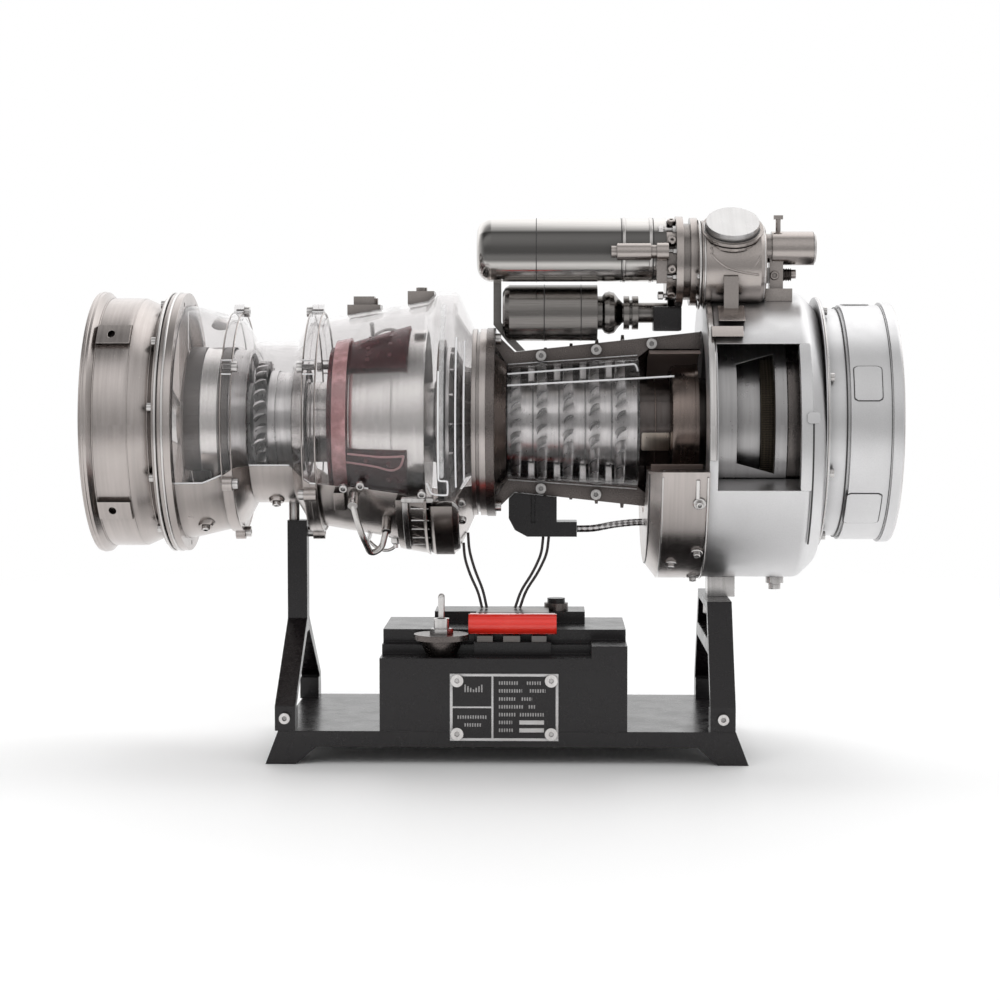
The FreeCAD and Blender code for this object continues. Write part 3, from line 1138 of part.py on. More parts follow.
def casing_fittings():
    """Igniter block and bracket on the combustor, and the box, strap and boss under it."""
    inner = burner_envelope(value("running_gap") * 2)
    start = value("burner_start")
    base = Part.makeBox(11.8, 12, 8, Vector(start + 10.9, -6, 34))
    upper = Part.makeBox(7.4, 8, 3.0, Vector(start + 13.0, -4, 42))
    plug = Part.makeCylinder(1.9, 2.4, Vector(start + 19.6, 0, 42), Vector(0, 0, 1))
    pieces = [base.multiFuse([upper, plug]).cut(inner).removeSplitter()]
    plate = Part.makeBox(9.4, 13, 5, Vector(start + 32.5, -6.5, 41.8))
    knob = Part.makeCylinder(2.0, 1.6, Vector(start + 37.2, -1.0, 46.6), Vector(0, 0, 1))
    pieces.append(plate.fuse(knob).cut(inner))
    for along, width, low, high, proud in (
        (29.9, 10.8, -47.2, -26.0, 3.5), (41.0, 8.6, -46.5, -28.0, 2.0), (8.0, 3.9, -30.2, -23.8, 2.0),
    ):
        block = Part.makeBox(width, 44, high - low, Vector(start + along, -48, low))
        pieces.append(block.common(burner_envelope(proud)).cut(inner))
    return keep(on_engine(shaped("casing_fittings", Part.makeCompound(pieces))), "casing_fittings")


def rounded_path(points):
    """Straight runs joined by tangent arcs, each arc as large as its two runs allow."""
    edges = []
    last = points[0]
    for before, corner, after in zip(points, points[1:], points[2:]):
        arriving, leaving = (corner - before), (after - corner)
        turning = arriving.getAngle(leaving)
        back = 0.45 * min(arriving.Length, leaving.Length)
        first = corner - arriving.normalize() * back
        second = corner + leaving.normalize() * back
        radius = back / math.tan(turning / 2)
        bisector = (first + second) * 0.5 - corner
        centre_distance = math.hypot(radius, back)
        middle = corner + bisector.normalize() * (centre_distance - radius)
        edges.append(Part.LineSegment(last, first).toShape())
        edges.append(Part.Arc(first, middle, second).toShape())
        print(f"bend radius {radius:.1f}")
        last = second
    edges.append(Part.LineSegment(last, points[-1]).toShape())
    return Part.Wire(edges)


def cord_shape(points, radius):
    """Round cord along a route, with its volume checked against its length."""
    path = rounded_path([Vector(*point) for point in points])
    start, ahead = Vector(*points[0]), Vector(*points[1]) - Vector(*points[0])
    profile = Part.Wire([Part.makeCircle(radius, start, ahead)])
    cord = path.makePipeShell([profile], True, False)
    expected = math.pi * radius * radius * path.Length
    if abs(cord.Volume - expected) > 0.02 * expected:
        raise RuntimeError("a cord's volume is off its length")
    print(f"cord length {path.Length:.1f}")
    return cord


def drain_tube():
    """Short bent drain pipe on the near underside of the combustor."""
    start = value("burner_start")
    route = [(start + 15.2, -35.6, -27.4), (start + 17.4, -34.4, -36.4), (start + 20.6, -26.4, -45.6),
             (start + 24.4, -25.0, -43.6), (start + 26.2, -27.4, -36.6)]
    pipe = cord_shape(route, value("pipe_radius"))
    inner = burner_envelope(value("running_gap") * 2)
    bosses = []
    for end in (route[0], route[-1]):
        point = Vector(*end)
        inward = Vector(0, -point.y, -point.z).normalize()
        outer_end = point - inward * 1.2
        bosses.append(Part.makeCylinder(1.7, 7.0, outer_end, inward).cut(inner))
    return keep(on_engine(shaped("drain_tube", pipe.multiFuse(bosses).cut(inner))), "drain_tube")


def exhaust_brackets():
    """Two folded sheet brackets on the near side of the exhaust."""
    inner = tube(0.0, value("ring_start"), value("duct_radius + running_gap"))
    outer = tube(0.0, value("ring_start"), value("duct_radius + 1.6"))
    pieces = []
    for low, high in ((28.0, 34.4), (-33.0, -26.8)):
        block = Part.makeBox(11.5, 44, high - low, Vector(4.4, -46.4, low))
        plate = block.common(outer).cut(inner)
        middle = (low + high) / 2
        hole = Part.makeCylinder(1.3, 60, Vector(9.4, 0, middle), Vector(0, -1, 0))
        pieces.append(plate.cut(hole))
    return keep(on_engine(shaped("exhaust_brackets", Part.makeCompound(pieces))), "exhaust_brackets")


def exciter_box():
    """Black box under the compressor, against the bottom split flange."""
    body = new_body("exciter_box")
    left, right = "(rotor_start + 0.4)", "(rotor_start + 0.4 + exciter_length)"
    bottom, tongue = "-funnel_radius - exciter_drop", "-funnel_radius - tongue_drop"
    shelf = "rotor_start + 17.6"
    pad(body, "XZ_Plane", [[
        (left, "-funnel_radius - 2.2"), ("rotor_start + 2.5", "-funnel_radius - 0.15"),
        (shelf, f"-{split_edge(shelf)} - 0.15"), (shelf, tongue), (right, tongue), (right, bottom),
        (f"{left} + 6.6", bottom), (f"{left} + 2.2", f"{bottom} + 2.4"), (left, f"{bottom} + 6.6"),
    ]], "-exciter_depth / 2", "exciter_depth / 2")
    doc.recompute([body], True)
    groove = box_loop(f"{left} + 8", f"{left} + 9.4", f"{bottom} + 5", "-funnel_radius")
    pocket(body, "XZ_Plane", [groove], "-exciter_depth / 2 - 1", "-exciter_depth / 2 + 1.2")
    return keep(on_engine(body), "exciter_box")


def braided_hose():
    """Braided hose from the black box to the steel drum."""
    start, end = value("rotor_start + 0.5 + exciter_length"), value("drum_start - 0.15")
    low = -value("funnel_radius + exciter_drop")
    route = [(start, -2, low + 2.6), (start + 6, -2, low + 2.7), (start + 13, -2.6, low + 4.2),
             (start + 20, -3, low + 5.0), (end, -3, low + 5.1)]
    return keep(on_engine(shaped("braided_hose", cord_shape(route, value("hose_radius")))), "braided_hose")


def hot_end_screws():
    """Socket screws of the exhaust ring and of the two lug flanges."""
    screws = []
    small = value("small_screw / screw_radius")
    for angle in even_angles("duct_screw_count"):
        seat = ring_point(value("duct_end"), value("duct_screw_circle"), angle)
        screws.append(cap_screw(seat, (1, 0, 0), value("duct_flange + ring_thick - 0.2"), small))
    for angle in WAIST_LUGS + UPPER_LUGS:
        seat = ring_point(value("cone_start"), value("waist_flange_radius"), angle)
        screws.append(cap_screw(seat, (-1, 0, 0), value("waist_flange - 0.6")))
    for angle in REAR_LUGS + UPPER_LUGS:
        seat = ring_point(value("rear_flange_start"), value("waist_flange_radius"), angle)
        screws.append(cap_screw(seat, (1, 0, 0), value("burner_flange * 2 - 0.2")))
    return keep(on_engine(shaped("hot_end_screws", Part.makeCompound(screws))), "hot_end_screws")


def cold_end_screws():
    """Screws of the compressor's flanges and of the intake, and the plug under the main frame."""
    screws = []
    for station in SPLIT_STATIONS:
        for side in (1, -1):
            edge = value(f"{split_edge(station)} - split_screw_inset")
            seat = Vector(value(station), 0, side * edge)
            screws.append(cap_screw(seat, (0, 1, 0), value("split_thick - 0.2")))
    for angle in REAR_SCREWS:
        seat = ring_point(value("funnel_start"), value("compressor_flange_radius - rear_screw_inset"), angle)
        screws.append(cap_screw(seat, (-1, 0, 0), value("compressor_flange - 0.4")))
    small = value("small_screw / screw_radius")
    for angle in even_angles("flange_screw_count"):
        seat = ring_point(value("groove_start"), value("intake_flange_radius - flange_screw_inset"), angle)
        screws.append(cap_screw(seat, (-1, 0, 0), value("intake_flange - 0.4"), small))
    place, low = value("frame_end - 13.0"), -value("frame_radius + frame_drop")
    plug = Part.makeCylinder(3.2, 4.0, Vector(place, 0, low - 2.4), Vector(0, 0, 1))
    plug = plug.fuse(Part.makeCylinder(2.2, 2.4, Vector(place, 0, low - 4.6), Vector(0, 0, 1)))
    screws.append(plug.cut(frame_saddle(value("running_gap"))))
    return keep(on_engine(shaped("cold_end_screws", Part.makeCompound(screws))), "cold_end_screws")


# Stand


def base_plate():
    """Base of the stand: a thick plate on four flared feet, with posts for the legs."""
    body = new_body("base_plate")
    left, right = "(rear_leg_place - base_rear_margin)", "(front_leg_place + base_front_margin)"
    pad(body, "XZ_Plane", [[
        (left, "0"), (f"{left} + foot_length", "0"), (f"{left} + foot_length + foot_run", "base_under"),
        (f"{right} - foot_length - foot_run", "base_under"), (f"{right} - foot_length", "0"), (right, "0"),
        (f"{right} - edge_slope", "base_top"), (f"{left} + edge_slope", "base_top"),
    ]], "-base_width / 2", "base_width / 2")
    doc.recompute([body], True)
    pocket(body, "YZ_Plane", [box_loop("-base_width / 2 + foot_width", "base_width / 2 - foot_width", "-1",
                                       "base_under")], f"{left} - 1", f"{right} + 1")
    for place, width in (("rear_leg_place", "rear_leg_width"), ("front_leg_place", "front_leg_width")):
        for near_edge, far_edge in (("-post_place", "-post_place + post_thick"),
                                    ("post_place - post_thick", "post_place")):
            pad(body, "XY_Plane", [box_loop(f"{place} - {width} / 2", f"{place} + {width} / 2",
                                            near_edge, far_edge)], "base_top - 0.5", "post_top")
    doc.recompute([body], True)
    return keep(body, "base_plate")


def control_box():
    """Hollow stepped housing on the base, which holds the battery, the board and the switches."""
    body = new_body("control_box")
    near, wall, rear = "-base_width / 2", "box_wall", "box_rear_edge"
    left, right = "(box_centre - box_length / 2)", "(box_centre + box_length / 2)"
    step_one, step_two = f"{near} + box_front_depth", f"{near} + box_front_depth + box_step_depth"
    pad(body, "YZ_Plane", [[
        (near, "base_top"), (near, "box_front_top"), (step_one, "box_front_top"), (step_one, "box_step_top"),
        (step_two, "box_step_top"), (step_two, "box_middle_top"), (rear, "box_middle_top"),
        (f"{rear} + 5", "box_step_top"), ("box_tail_edge", "box_front_top"), ("box_tail_edge", "base_top"),
    ]], left, right)
    pad(body, "XY_Plane", [box_loop("box_rear_left", "box_rear_right", "box_rear_near", rear)],
        "box_middle_top - 0.5", "box_rear_top")
    pad(body, "XY_Plane", [box_loop("box_shoulder_left", right, near, step_two)],
        "box_front_top - 0.5", "box_shoulder_top")
    doc.recompute([body], True)
    pocket(body, "YZ_Plane", [[
        (f"{near} + {wall}", "base_top - 1"), (f"{near} + {wall}", f"box_front_top - {wall}"),
        (f"{step_one} + {wall}", f"box_front_top - {wall}"),
        (f"{step_one} + {wall}", f"box_step_top - {wall}"),
        (f"{step_two} + {wall}", f"box_step_top - {wall}"),
        (f"{step_two} + {wall}", f"box_middle_top - {wall}"),
        (f"{rear} - 0.6", f"box_middle_top - {wall}"), (f"{rear} + 3.4", f"box_step_top - {wall}"),
        (f"box_tail_edge - {wall}", f"box_front_top - {wall}"), (f"box_tail_edge - {wall}", "base_top - 1"),
    ]], f"{left} + {wall}", f"{right} - {wall}")
    pocket(body, "XY_Plane", [("toggle_place", "toggle_near", "bushing_radius + running_gap")],
           f"box_front_top - {wall} - 1", "box_front_top + 1")
    pocket(body, "XY_Plane", [("button_place", "button_back", "button_radius + fit_gap")],
           f"box_middle_top - {wall} - 1", "box_rear_top + 1")
    return keep(body, "control_box")


def rear_leg():
    """Black leg under the turbines: an upturned Y."""
    body = new_body("rear_leg")
    outer, inner, crown = "base_width / 2", "(post_place + running_gap)", "rear_leg_split"
    pad(body, "YZ_Plane", [[
        (f"-{outer}", "base_top"), (f"-{outer}", "post_top + 1"), ("-rear_leg_half", crown),
        ("-rear_leg_half", "rear_leg_top"), ("rear_leg_half", "rear_leg_top"), ("rear_leg_half", crown),
        (outer, "post_top + 1"), (outer, "base_top"), (inner, "base_top"), (inner, "post_top + 0.4"),
        ("rear_leg_half", f"{crown} - 5"), ("-rear_leg_half", f"{crown} - 5"),
        (f"-{inner}", "post_top + 0.4"), (f"-{inner}", "base_top"),
    ]], "rear_leg_place - rear_leg_width / 2", "rear_leg_place + rear_leg_width / 2")
    doc.recompute([body], True)
    pocket(body, "XZ_Plane", [("rear_leg_place", "leg_screw_height", "screw_radius + running_gap")],
           "-base_width / 2 - 1", "base_width / 2 + 1")
    return keep(body, "rear_leg")


def front_leg():
    """Black double leg under the main frame, with a crossbar and a top bar."""
    body = new_body("front_leg")
    outer, inner = "base_width / 2", "(post_place + running_gap)"
    slope = "(base_width / 2 - front_leg_spread) / (front_leg_top - post_top - 1)"
    bar_top, under = "(crossbar_low + crossbar_thick)", "(front_leg_top - top_bar_thick)"

    def inside(height):
        return f"(base_width / 2 - leg_thick - {slope} * ({height} - post_top - 1))"
    pad(body, "YZ_Plane", [[
        (f"-{outer}", "base_top"), (f"-{outer}", "post_top + 1"), ("-front_leg_spread", "front_leg_top"),
        ("front_leg_spread", "front_leg_top"), (outer, "post_top + 1"), (outer, "base_top"),
        (inner, "base_top"), (inner, "post_top + 0.4"), (inside("crossbar_low"), "crossbar_low"),
        (f"-{inside('crossbar_low')}", "crossbar_low"), (f"-{inner}", "post_top + 0.4"),
        (f"-{inner}", "base_top"),
    ], [
        (f"-{inside(bar_top)}", bar_top), (f"-{inside(under)}", under), (inside(under), under),
        (inside(bar_top), bar_top),
    ]], "front_leg_place - front_leg_width / 2", "front_leg_place + front_leg_width / 2")
    doc.recompute([body], True)
    pocket(body, "XZ_Plane", [("front_leg_place", "leg_screw_height", "screw_radius + running_gap")],
           "-base_width / 2 - 1", "base_width / 2 + 1")
    pocket(body, "XY_Plane", [("front_leg_place", "0", "mount_stud_radius + running_gap")],
           f"{under} - 1", "front_leg_top + 1")
    return keep(body, "front_leg")


def hexagon(across, along, low, thick, flats, bore):
    """Hexagon nut standing on a level."""
    corner = flats / math.sqrt(3)
    points = [Vector(across + corner * math.cos(math.radians(60 * index)),
                     along + corner * math.sin(math.radians(60 * index)), low) for index in range(6)]
    body = Part.Face(Part.makePolygon(points + points[:1])).extrude(Vector(0, 0, thick))
    return body.cut(Part.makeCylinder(bore, thick, Vector(across, along, low)))


def engine_mounts():
    """Pin on the rear leg, and the silver block, stud and nut on the front leg."""
    axis, top = value("axis_height"), value("front_leg_top")
    foot = Vector(value("rear_leg_place - rear_pin_offset"), 0, value("rear_leg_top"))
    pin = Part.makeCylinder(value("rear_pin_radius"), axis - value("waist_radius") - 0.05 - foot.z, foot)
    place, width, half = value("front_leg_place"), value("mount_width"), value("mount_depth") / 2
    rise = value("mount_rise") + 5.1
    block = Part.makeBox(width, 2 * half, rise, Vector(place - width / 2 + 1.9, -half, top))
    saddle = Part.makeCylinder(value("frame_radius + running_gap"), width + 4,
                               Vector(place - width / 2, 0, axis - value("frame_drop")), Vector(1, 0, 0))
    stud = Part.makeCylinder(value("mount_stud_radius"), 6.0, Vector(place, 0, top - 6.0))
    nut = hexagon(place, 0.0, top - value("top_bar_thick + mount_nut"), value("mount_nut"),
                  value("mount_nut_flats"), value("mount_stud_radius + running_gap"))
    pieces = [pin, block.cut(saddle).fuse(stud), nut]
    return keep(shaped("engine_mounts", Part.makeCompound(pieces)), "engine_mounts")


def stand_screws():
    """Screws that hold the legs' feet to the posts, and the heads on the plate's corners."""
    screws = []
    for place in ("rear_leg_place", "front_leg_place"):
        for side in (-1, 1):
            seat = Vector(value(place), side * value("base_width") / 2, value("leg_screw_height"))
            screws.append(cap_screw(seat, (0, -side, 0), value("base_width / 2 - post_place - 0.2")))
    inset, half = value("plate_screw_inset"), value("plate_width") / 2
    low, high = value("plate_low"), value("plate_low + plate_height")
    for across in (value("plate_centre") - half + inset, value("plate_centre") + half - inset):
        for up in (low + inset, high - inset):
            seat = Vector(across, -value("base_width / 2 + plate_thick"), up)
            thick, socket_depth = value("plate_screw_height"), 0.5
            head = Part.makeCylinder(value("plate_screw_radius"), thick, seat, Vector(0, -1, 0))
            face = seat - Vector(0, thick, 0)
            slot = Part.makeCylinder(value("socket_radius"), socket_depth, face, Vector(0, 1, 0))
            screws.append(head.cut(slot))
    return keep(shaped("stand_screws", Part.makeCompound(screws)), "stand_screws")


def name_plate():
    """Bare plate on the front of the control box."""
    body = new_body("name_plate")
    left, right = "plate_centre - plate_width / 2", "plate_centre + plate_width / 2"
    pad(body, "XZ_Plane", [box_loop(left, right, "plate_low", "plate_low + plate_height")],
        "-base_width / 2 - plate_thick", "-base_width / 2")
    doc.recompute([body], True)
    return keep(body, "name_plate")


def upright(across, along, corners):
    """Solid of revolution about an upright axis, from (radius, height) numbers."""
    points = [Vector(radius, 0, up) for radius, up in corners]
    solid = Part.Face(Part.makePolygon(points + points[:1])).revolve(Vector(0, 0, 0), Vector(0, 0, 1), 360)
    solid.translate(Vector(across, along, 0))
    return solid


def toggle_switch():
    """Toggle switch: its threaded body with the nut, and the moving lever."""
    across, along, floor = value("toggle_place"), value("toggle_near"), value("box_front_top")
    disc_high = floor + value("toggle_pad_height + toggle_disc_thick")
    top, deep = disc_high + value("bushing_height"), floor - value("box_wall")
    inner, barrel, wide = value("lever_socket_radius"), value("bushing_radius"), value("switch_radius")
    throat, pivot = value("lever_throat"), top - value("lever_deep")
    bushing = upright(across, along, [
        (0, deep - value("switch_depth")), (wide, deep - value("switch_depth")), (wide, deep), (barrel, deep),
        (barrel, top), (throat, top), (throat, top - 0.8), (inner, top - 1.2), (inner, pivot - inner),
        (0, pivot - inner)])
    nut = hexagon(across, along, disc_high, value("nut_thick"), value("nut_across"),
                  value("bushing_radius + running_gap"))
    keep(shaped("toggle_switch", Part.makeCompound([bushing, nut])), "toggle_switch")
    rise = value("lever_length + lever_deep")
    foot = Vector(across, along, pivot)
    lever = Part.makeSphere(value("lever_ball_radius"), foot)
    stem = Part.makeCone(value("lever_radius") * 0.8, value("lever_radius"), rise, foot)
    tip = Part.makeSphere(value("lever_radius"), Vector(across, along, pivot + rise))
    keep(shaped("toggle_lever", lever.multiFuse([stem, tip])), "toggle_lever")


def guard_parts():
    """Black cradle, the red guard that hinges up from it, and the silver wire plate and contacts."""
    left, right = "(guard_place - cradle_length / 2)", "(guard_place + cradle_length / 2)"
    step_one = "(-base_width / 2 + box_front_depth)"
    step_two = "(-base_width / 2 + box_front_depth + box_step_depth)"
    cradle = new_body("guard_cradle")
    pad(cradle, "YZ_Plane", [[
        ("cradle_near", "box_front_top"), ("cradle_near", "cradle_low_top"),
        (f"{step_two} - cradle_neck", "cradle_low_top"), (f"{step_two} - cradle_neck", "box_middle_top + 1"),
        ("housing_near", "box_middle_top + 1"), ("housing_near", "cradle_top"), ("cradle_rear", "cradle_top"),
        ("cradle_rear", "box_middle_top"), (step_two, "box_middle_top"), (step_two, "box_step_top"),
        (step_one, "box_step_top"), (step_one, "box_front_top"),
    ]], left, right)
    cheek_near, cheek_rear = "hinge_place - 1.6", "hinge_place + hinge_round"
    cheek_top = "hinge_height + hinge_round"
    cheek = [(cheek_near, "cradle_low_top - 0.2"), (cheek_near, cheek_top), (cheek_rear, cheek_top),
             (cheek_rear, "box_middle_top"), (step_two, "box_middle_top"), (step_two, "cradle_low_top - 0.2")]
    for low, high in ((left, f"{left} + cheek_width"), (f"{right} - cheek_width", right)):
        pad(cradle, "YZ_Plane", [cheek], low, high)
    doc.recompute([cradle], True)
    pocket(cradle, "YZ_Plane", [("hinge_place", "hinge_height", "hinge_radius + running_gap")],
           f"{left} - 1", f"{right} + 1")
    keep(cradle, "guard_cradle")
    guard = new_body("red_guard")
    inner_left, inner_right = f"({left} - fit_gap)", f"({right} + fit_gap)"
    pad(guard, "YZ_Plane", [[
        ("guard_near", "guard_low"), ("guard_near", "guard_top - 2.2"),
        ("guard_near + 0.8", "guard_top - 0.7"), ("guard_near + 2.4", "guard_top"),
        ("guard_back", "guard_top"), ("hinge_place + 1.4", "hinge_height + 1.2"),
        ("hinge_place + hinge_round", "hinge_height"), ("hinge_place + 1.2", "hinge_height - 1.4"),
        ("hinge_place - 1.0", "hinge_height - hinge_round"), ("guard_back - 1.5", "guard_low"),
    ]], f"{inner_left} - guard_wall", f"{inner_right} + guard_wall")
    doc.recompute([guard], True)
    pocket(guard, "YZ_Plane", [[
        ("guard_near + guard_wall", "guard_low - 1"), ("guard_near + guard_wall", "guard_top - 2.2 - 0.4"),
        ("guard_near + guard_wall + 0.5", "guard_top - 0.6 - guard_wall"),
        ("guard_near + 2.6", "guard_top - guard_wall"), ("guard_back", "guard_top - guard_wall"),
        ("guard_back", "guard_top + 1"), ("hinge_place + 3", "guard_top + 1"),
        ("hinge_place + 3", "guard_low - 1"),
    ]], inner_left, inner_right)
    for low, high in ((f"{inner_left} - 0.2", f"{left} + cheek_width"), (f"{right} - cheek_width",
                                                                         f"{inner_right} + 0.2")):
        pad(guard, "YZ_Plane", [("hinge_place", "hinge_height", "hinge_radius")], low, high)
    doc.recompute([guard], True)
    keep(guard, "red_guard")
    start, end = value(left) + 0.8, value(right) - 0.8
    near, rear, level = value("housing_near + 0.2"), value("cradle_rear"), value("cradle_top")
    pieces = [Part.makeBox(end - start, rear - near, value("wire_plate_thick"), Vector(start, near, level))]
    for middle, width in ((-9.6, 5.5), (-0.3, 5.9), (9.2, 5.2)):
        corner = Vector(value("guard_place") + middle - width / 2, value("cradle_near") + 0.4,
                        value("cradle_low_top"))
        pieces.append(Part.makeBox(width, 4.0, value("contact_height"), corner))
    keep(shaped("wire_plate", Part.makeCompound(pieces)), "wire_plate")


def push_button():
    """Push button on the rear step; its collar, and the dark bowl under the toggle switch."""
    across, along, floor = value("button_place"), value("button_back"), value("box_rear_top")
    radius, high = value("button_radius"), value("button_collar_height")
    sunk, stem_long = 2.0, value("button_stem")
    proud = value("button_proud") + high + sunk
    plunger = Part.makeCylinder(radius, proud, Vector(across, along, floor - sunk))
    stem = Part.makeCylinder(radius / 2, stem_long, Vector(across, along, floor - sunk - stem_long))
    keep(shaped("start_button", plunger.fuse(stem)), "start_button")
    bore, collar_radius = radius + value("running_gap"), value("button_collar_radius")
    collar = upright(across, along, [
        (bore, floor), (collar_radius, floor), (collar_radius, floor + high), (bore, floor + high),
    ])
    floor, bore = value("box_front_top"), value("bushing_radius + running_gap")
    disc_low = floor + value("toggle_pad_height")
    disc_high, wide = disc_low + value("toggle_disc_thick"), value("toggle_disc_radius")
    bowl = upright(value("toggle_place"), value("toggle_near"), [
        (bore, floor), (value("toggle_pad_radius"), floor), (value("toggle_pad_radius") + 2.4, disc_low),
        (wide, disc_low), (wide, disc_high), (bore, disc_high)])
    clear = value("running_gap") * 2
    low_edge = value("-base_width / 2 + box_front_depth") - clear
    left = value("toggle_place") - 20
    low_step = Part.makeBox(40, 40, value("box_step_top") + clear - floor, Vector(left, low_edge, floor))
    riser = Part.makeBox(40, 40, 20, Vector(left, low_edge + value("box_step_depth"), floor))
    keep(shaped("switch_bezels", Part.makeCompound([collar, bowl.cut(low_step).cut(riser)])), "switch_bezels")


def box_contents():
    """Battery pack and circuit board inside the control box."""
    floor, near = value("base_top"), value("-base_width / 2 + box_wall") + 4
    cells = Part.makeBox(value("battery_length"), value("battery_width"), value("battery_height"),
                         Vector(value("battery_left"), near, floor))
    keep(shaped("battery_pack", cells), "battery_pack")
    left, front, rise = value("board_left"), value("board_near"), value("board_rise")
    length, width = value("board_length"), value("board_width")
    board = Part.makeBox(length, width, value("board_thick"), Vector(left, front, floor + rise))
    legs = [Part.makeCylinder(1.4, rise, Vector(left + across, front + along, floor))
            for across in (3, length - 3) for along in (3, width - 3)]
    keep(shaped("circuit_board", board.multiFuse(legs)), "circuit_board")


def wire_pair(name, tops, near, end_x, end_near):
    """Two thin wires side by side, from the engine down to the wire plate."""
    floor = value("cradle_top + wire_plate_thick") + 0.2
    cords = []
    for shift, (top_x, top_z) in zip((0.0, value("wire_pitch")), tops):
        way, side = end_x + shift - top_x, end_near - near
        route = [(top_x + way * across, near + side * across, top_z - (top_z - floor) * down)
                 for down, across in ((0, 0), (0.24, 0.06), (0.5, 0.36), (0.76, 0.8), (1.0, 1.0))]
        cords.append(cord_shape(route, value("wire_radius")))
    keep(shaped(name, Part.makeCompound(cords)), name)


def wires():
    """Two pairs of thin wires between the engine and the wire plate."""
    near, thick, end_near = -7.0, value("wire_radius"), value("cradle_rear - 3.6")
    tops = []
    for set_back in (3.55, 1.95):
        along = value("bulge_end") - set_back
        fall = (along - thick - value("bulge_end - bulge_fall")) / value("bulge_fall")
        radial = value("bulge_radius") + value("bulge_end_radius - bulge_radius") * fall
        level = value("axis_height") - math.sqrt(radial ** 2 - near ** 2) - 0.1
        tops.append((along - value("engine_length / 2"), level))
    middle = value("guard_place")
    wire_pair("rear_wires", tops, near, middle - 11.3, end_near)
    under = value("axis_height - funnel_radius - exciter_drop") - 0.2
    box_left = value("rotor_start - engine_length / 2")
    tops = [(box_left + 12.75, under), (box_left + 14.75, under)]
    wire_pair("front_wires", tops, -3.4, middle + 0.5, end_near)


MAKERS = (
    exhaust_duct, power_turbine_case, power_turbine_window, combustor_case, combustor_window, rear_ring,
    compressor_case, compressor_window, separator_drum, main_frame, intake_case, inlet_hub,
    intake_vanes, liners,
    turbine_stators, exhaust_frame, power_turbine, power_turbine_shaft, gas_generator_turbine,
    gas_generator_shaft, impeller, compressor_rotor, compressor_stators, diffuser,
    combustor_barrel, combustor_liner, shaft_bearings, drive_motor, starter, oil_tank, starter_flange,
    fuel_control, fuel_control_cap, fuel_actuator, casing_fittings, drain_tube, exhaust_brackets,
    exciter_box, braided_hose, hot_end_screws, cold_end_screws, base_plate, control_box, rear_leg,
    front_leg, engine_mounts, stand_screws, name_plate, toggle_switch, guard_parts, push_button,
    box_contents, wires,
)
for make in MAKERS:
    make()
doc.recompute()

for item in doc.Objects:
    if "Invalid" in item.State or "Error" in item.State:
        raise RuntimeError(f"{item.Name}: {item.State}")
for item in parts:
    if item.Shape.isNull() or not item.Shape.isValid():
        raise RuntimeError(f"{item.Label}: bad shape")
if len({item.Label for item in parts}) != len(parts):
    raise RuntimeError("two sub-parts have one name")

os.makedirs("parts", exist_ok=True)
for item in parts:
    item.Shape.exportStep(os.path.join("parts", item.Label + ".step"))
print(f"{len(parts)} sub-parts written")
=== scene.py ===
"""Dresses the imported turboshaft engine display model.

The solids of the frame keep their places. This script gives each of them its finish, adds the
small fittings, trims and markings that a maker would add by hand, and sets up a pale studio with
the camera at the photograph's viewing angle. The axes are the frame's own: +X towards the intake,
+Y away from the camera, +Z up. Finishes are in metres and pieces are drawn in millimetres.
"""

from __future__ import annotations

import logging
import math
from dataclasses import dataclass, replace
from enum import Enum
from typing import Mapping, Sequence, Union

import bmesh
import bpy
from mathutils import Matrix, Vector


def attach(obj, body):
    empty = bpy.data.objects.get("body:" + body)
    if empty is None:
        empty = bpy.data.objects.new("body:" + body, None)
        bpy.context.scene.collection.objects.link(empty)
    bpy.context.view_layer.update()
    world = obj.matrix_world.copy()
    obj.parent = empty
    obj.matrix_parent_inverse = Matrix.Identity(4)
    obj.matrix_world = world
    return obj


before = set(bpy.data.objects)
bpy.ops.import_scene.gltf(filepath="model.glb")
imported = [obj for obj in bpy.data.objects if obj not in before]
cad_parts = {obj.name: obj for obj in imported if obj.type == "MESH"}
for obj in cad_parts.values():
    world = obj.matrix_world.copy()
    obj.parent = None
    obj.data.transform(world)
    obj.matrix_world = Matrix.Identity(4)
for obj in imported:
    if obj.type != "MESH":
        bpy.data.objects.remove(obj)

LOG = logging.getLogger("engine_display")
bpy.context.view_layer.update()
MM = 0.001

Colour = tuple[float, float, float]
Point = tuple[float, float, float]
Line = tuple[float, float]
Steps = Sequence[tuple[float, float]]
Ring = tuple[float, float, float]
Span = tuple[float, float]

FULL_TURN: Span = (0.0, 360.0)

# Lines or grains to a metre of the finer metal finishes.
FINE = 2600.0

# Lines along X that things are turned round, each as y and z in millimetres.
ENGINE: Line = (0.0, 116.6)
MAIN_FRAME: Line = (0.0, 112.1)
STARTER: Line = (-8.0, 177.8)
CLAMP: Line = (-8.0, 173.6)
TANK: Line = (0.0, 155.8)
CONTROL: Line = (-14.0, 172.4)
ACTUATOR: Line = (-14.0, 178.0)
GUARD_ROLL: Line = (-32.5, 47.3)


class Body(Enum):
    """The bodies of the frame that a piece can ride on."""

    MODEL = "model_frame"
    FLAP = "guard_flap"


class Grain(Enum):
    """How the fine lines of a metal finish lie."""

    TURNED = "turned"
    DRAWN = "drawn"
    CAST = "cast"


# Shader building


